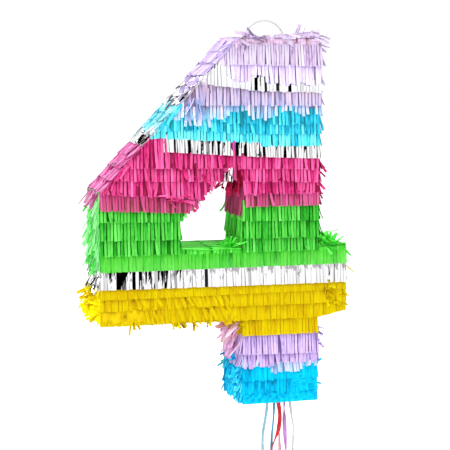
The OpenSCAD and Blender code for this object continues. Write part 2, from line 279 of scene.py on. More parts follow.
# The routes of the ribbons, in millimetres from the loop's middle, with z from the foot's underside
ROUTES = {
    "pull_ribbon": [
        (18.5, -8, -4), (18.5, -8, -14), (18, -8, -28), (18.5, -8, -45), (19.5, -8, -64), (21, -7, -88),
        (22, -6, -113), (20, -6, -140), (17, -7, -168), (16, -8, -198), (17, -8, -228), (19, -7, -262),
        (20, -6, -300),
    ],
    "pale_blue_ribbon": [
        (-1, -22, 0), (-1.5, -22, -12), (-4, -22, -28), (-6, -22, -42), (-6, -22, -62), (-5, -23, -85),
        (-7, -24, -110), (-10, -24, -137), (-11, -23, -165), (-9, -22, -195), (-8, -22, -225),
        (-10, -23, -260), (-12, -24, -298),
    ],
    "teal_ribbon": [
        (7.5, -22, 0), (7.5, -22, -12), (6.5, -22, -28), (5.5, -21, -42), (5.5, -20, -62), (7, -20, -85),
        (8, -20, -110), (6, -21, -137), (3, -22, -165), (2, -22, -195), (3, -21, -225), (4, -21, -260),
        (3, -22, -298),
    ],
    "red_ribbon": [
        (10, -29, 0), (12, -29, -11), (12.5, -29, -22), (10.5, -29, -36), (6.5, -29, -46),
        (0.5, -30, -62), (-4, -31, -85), (-5, -31, -110), (-2, -30, -137), (0, -30, -165),
        (-2, -31, -200), (-4, -31, -245), (-1, -30, -296),
    ],
    "orchid_ribbon": [
        (20, -22, 0), (20, -22, -12), (20.5, -22, -24), (21, -22, -38), (22.5, -22, -62), (23, -22, -85),
        (21, -22, -110), (18, -21, -137), (17, -20, -165), (19, -20, -195), (21, -21, -225),
        (21, -22, -260), (19, -22, -297),
    ],
    "white_ribbon": [
        (26.5, -22, 0), (28, -22, -12), (29.5, -22, -22), (31.5, -22, -34), (31, -22, -60),
        (30, -23, -85), (31, -24, -110), (34, -24, -137), (35, -23, -165), (33, -22, -195),
        (31, -22, -225), (32, -23, -260), (34, -23, -299),
    ],
}
RIBBON_WIDTH = 5.0
RIBBON_THICK = 0.22
# Turns of each ribbon about its length: the angle at its top, and how far and how often it sways
TWISTS = {
    "pull_ribbon": (55, 40, 3.0),
    "pale_blue_ribbon": (56, 12, 2.5),
    "teal_ribbon": (60, 25, 3.0),
    "red_ribbon": (-5, 50, 4.0),
    "orchid_ribbon": (50, 40, 7.0),
    "white_ribbon": (60, 18, 2.0),
}


def smooth_route(points, steps=9):
    """A Catmull-Rom curve through the points."""
    points = np.asarray(points, dtype=float)
    padded = np.vstack([2 * points[0] - points[1], points, 2 * points[-1] - points[-2]])
    made = []
    for a, b, c, d in zip(padded, padded[1:], padded[2:], padded[3:]):
        for t in np.arange(steps) / steps:
            square, cube = 2 * a - 5 * b + 4 * c - d, 3 * b - a - 3 * c + d
            made.append(0.5 * (2 * b + (c - a) * t + square * t ** 2 + cube * t ** 3))
    made.append(points[-1])
    return np.array(made)


def ribbon_mesh(name, material):
    """A flat ribbon, a little cupped across, that sways about its own length along its route."""
    line = smooth_route(ROUTES[name])
    count = len(line)
    along = np.gradient(line, axis=0)
    along /= np.linalg.norm(along, axis=1)[:, None]
    start, sway, turns = TWISTS[name]
    s = np.linspace(0, 1, count)
    angle = np.radians(start + sway * np.sin(math.pi * turns * s))
    side = np.cross(along, (0.0, 1.0, 0.0))
    side /= np.linalg.norm(side, axis=1)[:, None]
    depth = np.cross(along, side)
    wide = np.cos(angle)[:, None] * side + np.sin(angle)[:, None] * depth
    thin = np.cross(along, wide)
    columns = np.linspace(-1, 1, 5)
    cup = 0.8 * (1 - columns ** 2)
    rings = []
    for face_side in (1, -1):
        for c, up in zip(columns[::face_side], cup[::face_side]):
            offset = face_side * RIBBON_THICK / 2 + up
            rings.append(line + wide * (c * RIBBON_WIDTH / 2) + thin * offset)
    sides = len(rings)
    verts = np.stack(rings, 1).reshape(-1, 3)
    faces = []
    for i in range(count - 1):
        for k in range(sides):
            a, b = i * sides + k, i * sides + (k + 1) % sides
            faces.append((a, b, b + sides, a + sides))
    faces.append(tuple(range(sides))[::-1])
    faces.append(tuple((count - 1) * sides + k for k in range(sides)))
    place = np.array((0.0, 0.0, FOOT_UNDERSIDE))
    piece = link(name + "_satin", verts * 0.001 + place, faces, material, smooth=True)
    return piece, line * 0.001 + place


def make_ribbons():
    for name in ROUTES:
        slot_name = "rose_ribbon" if name == "pull_ribbon" else name
        piece, path = ribbon_mesh(name, ribbon_material(slot_name))
        put(piece, "pull_ribbon" if name == "pull_ribbon" else "carton", name, slot_name)
        length = float(np.linalg.norm(np.diff(path, axis=0), axis=1).sum())


# ---------------------------------------------------------------- materials

def slot_colour(name):
    for entry in frame["record"]["materials"]:
        if entry["slot"] == name:
            return tuple(entry["base_color"][:3])
    raise KeyError(name)


def linear(colour):
    """A screen colour as the linear colour that the shaders take."""
    return tuple(c / 12.92 if c <= 0.04045 else ((c + 0.055) / 1.055) ** 2.4 for c in colour) + (1.0,)


def darker(colour, share):
    return tuple(share * c for c in colour)


def lighter(colour, share):
    return tuple(c + share * (1 - c) for c in colour)


class Nodes:
    """The node tree of a new material or world, with short calls for what they share.

    A value is a number, a colour, or another node's output, which is joined to the socket.
    """

    def __init__(self, name, kind):
        self.owner = kind.new(name)
        self.owner.use_nodes = True
        self.tree = self.owner.node_tree

    def set(self, socket, value):
        if isinstance(value, bpy.types.NodeSocket):
            self.tree.links.new(value, socket)
        else:
            socket.default_value = value

    def add(self, kind, **values):
        """A new node. Its sockets are named with an underscore for each space."""
        node = self.tree.nodes.new(kind)
        for key, value in values.items():
            if key.replace("_", " ") in node.inputs:
                self.set(node.inputs[key.replace("_", " ")], value)
            else:
                setattr(node, key, value)
        return node

    def place(self, scale=(1.0, 1.0, 1.0), tilt=0.0):
        """The point on the piece in millimetres, tilted in the number's plane and then stretched by scale."""
        where = self.add("ShaderNodeTexCoord").outputs["Object"]
        if tilt:
            where = self.add("ShaderNodeMapping", Vector=where, Rotation=(0.0, tilt, 0.0)).outputs["Vector"]
        return self.add("ShaderNodeMapping", Vector=where, Scale=[1000 * s for s in scale]).outputs["Vector"]

    def noise(self, vector, scale, detail=3.0, roughness=0.55):
        made = self.add("ShaderNodeTexNoise", Vector=vector, Scale=scale, Detail=detail, Roughness=roughness)
        return made.outputs["Fac"]

    def spread(self, value, low, high, to_low=0.0, to_high=1.0, curve="LINEAR"):
        return self.add("ShaderNodeMapRange", interpolation_type=curve, Value=value, From_Min=low,
                        From_Max=high, To_Min=to_low, To_Max=to_high).outputs["Result"]

    def sum(self, a, b, operation="ADD"):
        node = self.add("ShaderNodeMath", operation=operation)
        self.set(node.inputs[0], a)
        self.set(node.inputs[1], b)
        return node.outputs["Value"]

    def times(self, a, b):
        return self.sum(a, b, "MULTIPLY")

    def mix(self, factor, a, b, blend="MIX"):
        node = self.add("ShaderNodeMix", data_type="RGBA", blend_type=blend, Factor=factor)
        self.set(node.inputs[6], a)  # 6 and 7 are the sockets for two colours
        self.set(node.inputs[7], b)
        return node.outputs[2]

    def marks(self):
        """The strip's own shade, the place along the strip and a second random number."""
        node = self.add("ShaderNodeVertexColor", layer_name="fringe")
        parts = self.add("ShaderNodeSeparateColor", Color=node.outputs["Color"]).outputs
        return parts["Red"], parts["Green"], parts["Blue"]

    def finish(self, bump=None, **values):
        """Sets the shader's sockets and gives the material. bump is a height, its strength and its depth."""
        shader = self.tree.nodes["Principled BSDF"]
        for key, value in values.items():
            self.set(shader.inputs[key.replace("_", " ")], value)
        if bump:
            height, strength, distance = bump
            node = self.add("ShaderNodeBump", Height=height, Strength=strength, Distance=distance * 0.001)
            self.set(shader.inputs["Normal"], node.outputs["Normal"])
        return self.owner


# How much stronger and how much darker the backing's colour is painted between two strips: painted shade in
# the gaps
GAP_DEPTH = 2.6
PAINTED_GAP_SHADE = 0.7


@cache
def tissue_material(name, body, deep, pale, tip, tip_share, tilt):
    """Crinkled tissue paper. deep and pale are the colours of the darkest and lightest strips.

    Towards the tips, where a strip is a single layer, tip_share of the tip colour shows through.
    """
    m = Nodes(name, bpy.data.materials)
    shade, along, other = m.marks()
    point = m.place()
    crinkle = m.noise(m.place((1.0, 1.0, 0.25), tilt), 0.55, 4.0, 0.6)
    fold = m.noise(m.place((1.0, 1.0, 0.07), tilt), 0.7, 2.0, 0.5)
    fibre = m.noise(point, 2.6, 2.0, 0.7)
    patch = m.noise(point, 0.05, 2.0)
    # the crinkle and fold relief, which also makes the bump, darkens and lightens the colour: painted shade
    # and highlight on the creases; the large patches are a random tone
    tone = m.sum(shade, m.spread(crinkle, 0.3, 0.7, -0.09, 0.09))
    tone = m.sum(tone, m.spread(patch, 0.3, 0.7, -0.08, 0.08))
    tone = m.sum(tone, m.spread(fold, 0.35, 0.65, -0.08, 0.08))
    # darker towards the glued top of each strip: painted shadow under the tips of the row above
    tone = m.sum(tone, m.spread(along, 0.35, 0.75, -0.12, 0.0))
    # the gap colour, a darker and stronger copy of the body: painted shade on the backing between strips
    gap = tuple(PAINTED_GAP_SHADE * c ** GAP_DEPTH for c in body)
    colour = m.mix(m.spread(tone, 0.02, 0.28), linear(gap), linear(deep))
    colour = m.mix(m.spread(tone, 0.28, 0.52), colour, linear(body))
    colour = m.mix(m.spread(tone, 0.55, 1.0), colour, linear(pale))
    if tip is not None:
        through = m.times(m.spread(along, 0.2, 1.0), m.spread(other, 0.0, 1.0, 0.35, 1.0))
        colour = m.mix(m.times(through, tip_share), colour, linear(tip))
    colour = m.mix(m.spread(fibre, 0.35, 0.75, 0.0, 0.1), colour, linear(pale))
    height = m.sum(m.sum(crinkle, fold), m.times(fibre, 0.2))
    return m.finish((height, 0.5, 0.45), Base_Color=colour, Roughness=m.spread(fibre, 0.3, 0.7, 0.72, 0.9),
                    Specular_IOR_Level=0.06, Sheen_Weight=0.1, Sheen_Roughness=0.5, Sheen_Tint=linear(body))


@cache
def film_material(name, tilt, clear):
    """Metallised mirror film with long soft creases and dents. Its grey patches are fewer as clear rises."""
    m = Nodes(name, bpy.data.materials)
    shade, along, _ = m.marks()
    crease = m.noise(m.place((1.0, 1.0, 0.1), tilt), 0.28, 1.0, 0.4)
    dent = m.noise(m.place((1.0, 1.0, 0.4), tilt), 0.22, 1.0, 0.4)
    # film with a low shade mark is painted near black; the backing's mark sits low, so this is painted shade
    # between the film strips
    colour = m.mix(m.spread(shade, 0.05, 0.3), (0.02, 0.02, 0.025, 1.0), (0.96, 0.96, 0.975, 1.0))
    streaks = m.noise(m.place((1.0, 1.0, 0.35), tilt), 0.2, 3.0, 0.6)
    # grey patches from noise, more of them towards the glued top of each strip: painted shadow under the row
    # above
    patch = m.sum(streaks, m.spread(along, 0.35, 0.9, 0.08, -0.14))
    colour = m.mix(m.spread(patch, clear, clear + 0.06), colour, (0.5, 0.48, 0.5, 1.0), "MULTIPLY")
    height = m.sum(crease, m.times(dent, 0.3))
    return m.finish((height, 0.5, 0.6), Base_Color=colour, Metallic=1.0,
                    Roughness=m.spread(dent, 0.3, 0.7, 0.02, 0.06))


@cache
def ribbon_material(name):
    """Satin curling ribbon with fine ribs along it."""
    m = Nodes(name, bpy.data.materials)
    colour = slot_colour(name)
    rib = m.noise(m.place((3.0, 3.0, 0.05)), 1.0, 2.0, 0.6)
    patch = m.noise(m.place(), 0.08, 2.0)
    tone = m.spread(m.sum(rib, patch), 0.7, 1.3)
    body = m.mix(tone, linear(darker(colour, 0.72)), linear(lighter(colour, 0.08)))
    return m.finish((rib, 0.2, 0.12), Base_Color=body, Roughness=m.spread(rib, 0.3, 0.7, 0.16, 0.26),
                    Specular_IOR_Level=0.15)


@cache
def card_material(name, lines):
    """Brown corrugated card: fibres, specks and the faint ridges of the flutes along the named axis."""
    m = Nodes(name, bpy.data.materials)
    point = m.place()
    fibre = m.noise(m.place((0.4, 0.4, 3.0)), 0.5, 5.0, 0.65)
    speck = m.noise(point, 3.0, 2.0, 0.6)
    patch = m.noise(point, 0.03, 2.0)
    waves = m.add("ShaderNodeTexWave", Vector=point, Scale=0.045, Distortion=0.3, bands_direction=lines)
    flutes = waves.outputs["Fac"]
    kraft = slot_colour("card")
    tone = m.spread(m.sum(m.sum(fibre, patch), m.spread(flutes, 0.0, 1.0, -0.08, 0.08)), 0.7, 1.3)
    body = m.mix(tone, linear(darker(kraft, 0.72)), linear(lighter(kraft, 0.25)))
    body = m.mix(m.spread(speck, 0.68, 0.78, 0.0, 0.5), body, linear((0.36, 0.25, 0.15)))
    return m.finish((m.sum(fibre, m.times(flutes, 1.5)), 0.35, 0.4), Base_Color=body,
                    Roughness=m.spread(fibre, 0.3, 0.7, 0.75, 0.92), Specular_IOR_Level=0.2)


@cache
def wire_material(name):
    """White plastic coating with fine scuffs."""
    m = Nodes(name, bpy.data.materials)
    scuff = m.noise(m.place(), 1.4, 4.0, 0.6)
    body = m.mix(m.spread(scuff, 0.35, 0.7), linear((0.70, 0.70, 0.69)), linear((0.88, 0.88, 0.87)))
    return m.finish((scuff, 0.15, 0.2), Base_Color=body, Roughness=m.spread(scuff, 0.3, 0.7, 0.3, 0.5))


@cache
def plain_tissue(name, colour):
    """Glued-down tissue with creases, for the few flat sheets."""
    m = Nodes(name, bpy.data.materials)
    crease = m.noise(m.place(), 0.12, 5.0, 0.6)
    fibre = m.noise(m.place(), 2.4, 2.0, 0.7)
    tone = m.spread(m.sum(crease, fibre), 0.7, 1.3)
    body = m.mix(tone, linear(darker(colour, 0.8)), linear(lighter(colour, 0.25)))
    return m.finish((crease, 0.6, 1.0), Base_Color=body, Roughness=m.spread(fibre, 0.3, 0.7, 0.7, 0.9),
                    Sheen_Weight=0.2)


# Colours as they look on the object: body, darkest strips, palest strips. Some are lighter or deeper copies
# of another colour, for painted light and shade on certain faces
COLOURS = {
    "lilac": ((0.80, 0.75, 0.85), (0.75, 0.65, 0.80), (0.90, 0.85, 0.90)),
    "pale_lilac": ((0.85, 0.80, 0.95), (0.80, 0.70, 0.90), (0.90, 0.90, 0.95)),
    "shoulder": ((0.80, 0.70, 0.80), (0.65, 0.60, 0.75), (0.85, 0.80, 0.85)),
    "periwinkle": ((0.85, 0.80, 0.90), (0.50, 0.65, 0.85), (1.00, 0.90, 0.95)),
    "blue": ((0.30, 0.85, 0.90), (0.10, 0.70, 0.85), (0.50, 0.95, 0.95)),
    "pink": ((0.85, 0.30, 0.55), (0.75, 0.10, 0.40), (0.95, 0.45, 0.70)),
    "dull_pink": ((0.75, 0.25, 0.50), (0.70, 0.20, 0.40), (0.85, 0.40, 0.60)),
    "green": ((0.30, 0.75, 0.25), (0.15, 0.65, 0.15), (0.45, 0.90, 0.40)),
    "pale_green": ((0.30, 0.75, 0.20), (0.20, 0.70, 0.15), (0.40, 0.85, 0.30)),
    "yellow": ((0.80, 0.70, 0.00), (0.75, 0.60, 0.00), (0.85, 0.80, 0.00)),
    "foot_lilac": ((0.80, 0.70, 0.90), (0.65, 0.55, 0.80), (0.90, 0.80, 0.95)),
    "foot_blue": ((0.00, 0.75, 0.90), (0.00, 0.65, 0.85), (0.00, 0.80, 0.95)),
    "crown_header": ((0.86, 0.74, 0.86), (0.78, 0.64, 0.68), (0.90, 0.80, 0.94)),
    "corner_yellow": ((0.86, 0.73, 0.03), (0.72, 0.60, 0.00), (0.95, 0.86, 0.12)),
    # The next two are brighter copies of green and foot_blue: painted light on the faces that take them
    "sunlit_green": ((0.41, 1.00, 0.34), (0.28, 0.86, 0.22), (0.60, 1.00, 0.55)),
    "side_blue": ((0.12, 0.86, 1.00), (0.02, 0.70, 0.92), (0.45, 0.97, 1.00)),
    # The next five, for the sloping edge and the left end, are paler and brighter copies of lilac, blue,
    # pink, green and yellow: painted light on those faces
    "slope_lilac": ((0.80, 0.75, 0.90), (0.75, 0.65, 0.85), (0.85, 0.80, 0.90)),
    "slope_blue": ((0.55, 0.85, 0.90), (0.15, 0.70, 0.80), (0.90, 0.95, 0.95)),
    "slope_pink": ((0.85, 0.50, 0.70), (0.75, 0.20, 0.50), (0.90, 0.75, 0.90)),
    "left_green": ((0.65, 1.00, 0.65), (0.30, 0.85, 0.30), (0.85, 1.00, 0.90)),
    "left_yellow": ((1.00, 0.93, 0.04), (0.92, 0.80, 0.00), (1.00, 0.98, 0.15)),
    # The next is the pale pink of the strands under the bar, made paler still against their shade: partly
    # their own colour, partly painted light
    "strand_pink": ((0.95, 0.80, 0.95), (0.88, 0.62, 0.80), (1.00, 0.92, 1.00)),
    # The next is a deeper copy of pink for the hole's right side: painted shade
    "crimson": ((0.95, 0.15, 0.40), (0.80, 0.05, 0.30), (1.00, 0.25, 0.55)),
    "dark_pink": ((0.76, 0.13, 0.33), (0.56, 0.05, 0.20), (0.90, 0.30, 0.54)),
    "magenta": ((0.88, 0.50, 0.88), (0.80, 0.36, 0.78), (0.95, 0.66, 0.95)),
}
# The colour that shows through at the tips, and how much of it
TIPS = {
    "pale_lilac": ((0.98, 0.96, 0.99), 0.2),
    "shoulder": ((0.60, 0.72, 0.96), 0.35),
    "periwinkle": ((0.36, 0.80, 0.95), 0.6),
    "dull_pink": ((0.62, 0.52, 0.38), 0.25),
    "pale_green": ((0.72, 0.92, 0.70), 0.1),
}


# Each film's name, whether it lies along the slope, and how free it is of grey patches
FILMS = {
    "film": ("mirror_film", False, 0.64),
    "low_film": ("grey_film", False, 0.56),
    "slope_film": ("slope_film", True, 0.7),
}


def paper(name):
    along_slope = -math.atan(1 / SLOPE)
    if name in FILMS:
        film, sloping, clear = FILMS[name]
        return film_material(film, along_slope if sloping else 0.0, clear)
    tilt = along_slope if name.startswith("slope") else 0.0
    return tissue_material(name + "_tissue", *COLOURS[name], *TIPS.get(name, (None, 0.0)), tilt)


# ---------------------------------------------------------------- outline

def outline_top(x):
    """Height of the number's upper edge at x, over the main part left of the stem's right side."""
    return np.minimum(HEIGHT, SLOPE_FOOT_Z + SLOPE * x)


def hole_slope(x):
    """Height of the hole's sloping edge at x."""
    return HOLE_TURN_Z + SLOPE * (x - HOLE_LEFT)


def bar_low(x):
    """Height of the cross bar's underside at x, which rises from the stem to the end of the stub."""
    return BAR_BOTTOM + STUB_RISE * np.clip((x - STEM_RIGHT) / (WIDTH - STEM_RIGHT), 0, 1)


def in_number(x, z):
    main = (x >= 0) & (x <= STEM_RIGHT) & (z >= BAR_BOTTOM) & (z <= outline_top(x))
    stub = (x >= STEM_RIGHT) & (x <= WIDTH) & (z >= bar_low(x)) & (z <= BAR_TOP)
    foot = (x >= STEM_LEFT) & (x <= STEM_RIGHT) & (z >= 0) & (z <= BAR_BOTTOM)
    gap = (x > HOLE_LEFT) & (x < STEM_LEFT + 0.5) & (z > BAR_TOP) & (z < hole_slope(x))
    return (main | stub | foot) & ~gap


SEARCH_STEP = 0.5
SEARCH_STEPS = 80
SHORTEST_STRIP = 4.0


def covered(x, top, bottom, reach):
    """Where strips at x that are glued at top and cut at bottom really start and end.

    A strip starts lower where the card is cut away above it, hangs past the hole's sloping edge by no
    more than reach, and doesn't hang below the cross bar beside the foot. Returns start, end and
    which strips exist.
    """
    start = np.array(top, dtype=float)
    for _ in range(SEARCH_STEPS):
        outside = ~in_number(x, start) & (start > bottom)
        start = np.where(outside, start - SEARCH_STEP, start)
    over_gap = (x > HOLE_LEFT) & (x < STEM_LEFT) & (start > BAR_TOP)
    end = np.where(over_gap, np.maximum(bottom, hole_slope(x) - reach), bottom)
    beside_foot = (x < STEM_LEFT) | (x > STEM_RIGHT)
    end = np.where(beside_foot, np.maximum(end, bar_low(x) - 0.5), end)
    return start, end, in_number(x, start) & (start - end > SHORTEST_STRIP)


# ---------------------------------------------------------------- rows

class Row:
    """One row of fringe: its lower edge as (x, height) points, and how it is cut and how untidy it is."""

    def __init__(self, name, node, slot_name, colour, low, pitch=3.8, gap=0.6, mess=1.0, ragged=1.0,
                 spread=0.8, under=-0.5, reach=3.0, missing=0.0, tilt=None, shine=None, tone=0.0):
        self.name, self.node, self.slot, self.colour = name, node, slot_name, colour
        self.points = ((0.0, low),) if isinstance(low, (int, float)) else low
        self.pitch, self.gap, self.mess, self.ragged = pitch, gap, mess, ragged
        # under is the shade mark of the row's backing: set low, it paints the backing in the dark gap colour,
        # painted shade between the strips
        self.spread, self.under, self.reach, self.missing = spread, under, reach, missing
        self.tilt = tilt  # (from x, to x, degrees) where strips have swung to the right
        self.tone = tone  # how much paler than usual its strips are
        self.shine = shine  # (from x, to x, share) where film strips have turned to the dark

    def low(self, x):
        return np.interp(np.asarray(x, dtype=float), *zip(*self.points))


LILAC = ("crown_lilac_rows", "lilac_tissue")
UPPER_FILM = ("upper_film_row", "mirror_film")
SHOULDER = ("shoulder_lilac_rows", "lilac_tissue")
BLUE = ("blue_rows", "blue_tissue")
MIDDLE_FILM = ("middle_film_row", "mirror_film")
PINK = ("pink_rows", "pink_tissue")
GREEN = ("green_rows", "green_tissue")
LOWER_FILM = ("lower_film_row", "mirror_film")
YELLOW = ("yellow_rows", "yellow_tissue")
FOOT_LILAC = ("foot_lilac_rows", "lilac_tissue")
FOOT_BLUE = ("foot_blue_rows", "blue_tissue")

ROWS = [
    Row("crown_1", *LILAC, "lilac", ((150, 388.5), (289, 386)), 3.2, 0.6, 0.8, 0.8, spread=0.55),
    Row("crown_2", *LILAC, "pale_lilac", ((144, 388), (147, 374), (160, 368), (170, 369), (173, 377),
        (187, 376), (190, 368), (289, 363.5)), 4.0, 0.5, 1.3, 2.5, spread=0.35, missing=0.06),
    Row("upper_film", *UPPER_FILM, "film", ((125, 366), (183, 359), (289, 356)), 3.6, 0.15, 0.6, under=-0.2,
        shine=(160, 250, 0.4)),
    Row("shoulder_1", *SHOULDER, "shoulder", ((125, 343), (289, 342)), 4.0, 1.0, 1.0),
    Row("shoulder_2", *SHOULDER, "periwinkle", ((102, 328.5), (145, 328), (150, 335), (168, 337),
        (172, 328), (195, 328), (205, 333), (222, 339), (232, 332), (289, 330)), 4.0, 0.8, 1.5, 2.0,
        missing=0.1),
    Row("blue_1", *BLUE, "blue", ((113, 326), (177, 321.5), (289, 321)), 3.8, 0.8, 1.2, 1.4, tone=-0.14),
    Row("blue_2", *BLUE, "blue", ((113, 315), (177, 310.5), (289, 309.5)), 3.8, 0.8, 1.0, tone=-0.06),
    Row("blue_3", *BLUE, "blue", ((73, 307), (160, 302), (184, 301), (186, 297), (289, 296)), 3.8, 0.8, 1.0,
        tone=0.14),
    Row("middle_film", *MIDDLE_FILM, "film", ((59, 293), (183, 285), (289, 281)), 3.1, 0.5, 0.9, 0.3,
        shine=(60, 289, 0.4)),
    Row("pink_1", *PINK, "pink", ((0, 275), (289, 269)), gap=0.95, mess=1.3, ragged=1.2, reach=30.0),
    Row("pink_2", *PINK, "pink", ((0, 261), (289, 254.5)), gap=0.95, mess=1.2, ragged=1.0, reach=9.0),
    Row("pink_3", *PINK, "pink", ((0, 246), (140, 237), (141, 243), (289, 242.5)), gap=0.95, mess=1.5,
        ragged=1.6, reach=4.0),
    Row("pink_4", *PINK, "dull_pink", ((0, 228), (140, 221), (141, 228.5), (289, 228.5)), 3.4, 0.7, 0.6,
        0.6, reach=3.0),
    Row("green_1", *GREEN, "green", ((0, 215), (289, 211)), gap=0.95, mess=0.7, ragged=0.6),
    Row("green_2", *GREEN, "green", ((0, 195), (289, 191.5)), gap=0.95, mess=0.7, ragged=0.6),
    Row("green_3", *GREEN, "green", 177, gap=0.95, mess=0.7, ragged=0.6),
    Row("green_4", *GREEN, "pale_green", ((0, 159.5), (289, 160.5)), 4.0, 0.18, 0.5, 0.6, spread=0.6,
        under=-0.05),
    Row("lower_film", *LOWER_FILM, "low_film", ((0, 140), (289, 138.5)), 3.6, 0.2, 0.45, 0.4, under=-0.22,
        shine=(0, 95, 0.6)),
    Row("yellow_1", *YELLOW, "yellow", ((0, 128.5), (289, 130)), 3.8, 0.14, 0.3, 0.3, under=-0.06,
        spread=0.3),
    Row("yellow_2", *YELLOW, "yellow", ((0, 116), (289, 115)), 4.0, 0.16, 0.5, 0.4, under=-0.06, spread=0.4,
        tilt=(38, 150, 22)),
    Row("yellow_3", *YELLOW, "yellow", ((0, 100), (255, 98.5), (289, 106)), 4.0, 0.18, 0.6, 0.5,
        under=-0.06, spread=0.4, tilt=(30, 150, 26)),
    Row("yellow_4", *YELLOW, "yellow", 80.5, 3.8, 0.25, 0.5, 0.4, spread=0.4, under=-0.15),
    Row("foot_1", *FOOT_LILAC, "foot_lilac", ((164, 59), (256, 57)), 3.3, 0.65, 0.7, 0.5, spread=0.3),
    Row("foot_2", *FOOT_LILAC, "foot_lilac", ((164, 43), (200, 44), (202, 47), (256, 47)), 3.6, 0.6, 1.2,
        1.6, spread=0.3),
    Row("foot_3", *FOOT_LILAC, "periwinkle", ((164, 44), (195, 43), (200, 36), (232, 36), (236, 42),
        (256, 42)), 3.8, 0.5, 1.4, 1.5),
    Row("foot_4", *FOOT_BLUE, "foot_blue", 28, 3.8, 0.16, 0.6, 1.2, under=-0.1),
    Row("foot_5", *FOOT_BLUE, "foot_blue", 13, 3.8, 0.16, 1.2, 2.2, under=-0.1),
    Row("foot_6", *FOOT_BLUE, "foot_blue", 0.5, 3.8, 0.3, 1.0, 0.4, under=-0.2),
]
# The sloping edge and the left end carry rows of their own, laid at their own heights
# Most of their colours are paler and brighter copies of the front's: painted light on these faces
SLOPE_ROWS = [
    Row(name, *band, colour, low, 6.0, 0.4, mess, 1.8, spread=0.4, under=-0.2)
    for name, band, colour, low, mess in (
        ("crown_a", LILAC, "slope_lilac", 404, 0.8),
        ("crown_b", LILAC, "slope_lilac", 390, 0.8),
        ("crown_c", LILAC, "slope_lilac", 376, 0.8),
        ("film_a", UPPER_FILM, "slope_film", 364, 0.2),
        ("film_b", UPPER_FILM, "slope_film", 353, 0.2),
        ("film_low", UPPER_FILM, "slope_film", 344, 0.2),
        ("blue_a", BLUE, "slope_blue", 335, 0.8),
        ("blue_b", BLUE, "slope_blue", 326, 0.8),
        ("blue_c", BLUE, "slope_blue", 317, 0.8),
        ("film_c", MIDDLE_FILM, "slope_film", 308, 0.2),
        ("film_d", MIDDLE_FILM, "slope_film", 300, 0.2),
        ("pink_a", PINK, "slope_pink", 287, 0.8),
        ("pink_b", PINK, "slope_pink", 274, 0.8),
        ("pink_c", PINK, "slope_pink", 261, 0.8),
        ("pink_d", PINK, "slope_pink", 249, 0.8),
    )
]
LEFT_ROWS = [
    Row(name, *band, colour, low, mess=1.3, ragged=2.6)
    for name, band, colour, low in (
        ("pink_d", PINK, "slope_pink", 240),
        ("green_a", GREEN, "left_green", 224),
        ("green_b", GREEN, "left_green", 207),
        ("green_c", GREEN, "left_green", 190),
        ("green_d", GREEN, "left_green", 174),
        ("green_e", GREEN, "left_green", 160),
        ("film_e", LOWER_FILM, "film", 140),
        ("yellow_a", YELLOW, "left_yellow", 127),
        ("yellow_b", YELLOW, "left_yellow", 113),
        ("yellow_c", YELLOW, "left_yellow", 100),
    )
]
GLUED = 8.0  # depth of the glued upper part of a row, which the row above covers
SHORTEST_ROW = 14.0  # from a row's glued edge to its lower edge
CROWN_HEADER = 8.0
FILM_LEFT = 70.0  # where the middle film starts on the front, with the pink row in its place before it
CORNER_SHEET = 50.0  # the bottom left corner is one crumpled sheet as far as this


BACKING = 0.2  # thickness of a row's header and its height off the card
TISSUE = 0.26
FILM = 0.16
FIRST_LAYER = 0.4  # height of the lower layer of loose strips off the card
LAYER_STEP = 0.35


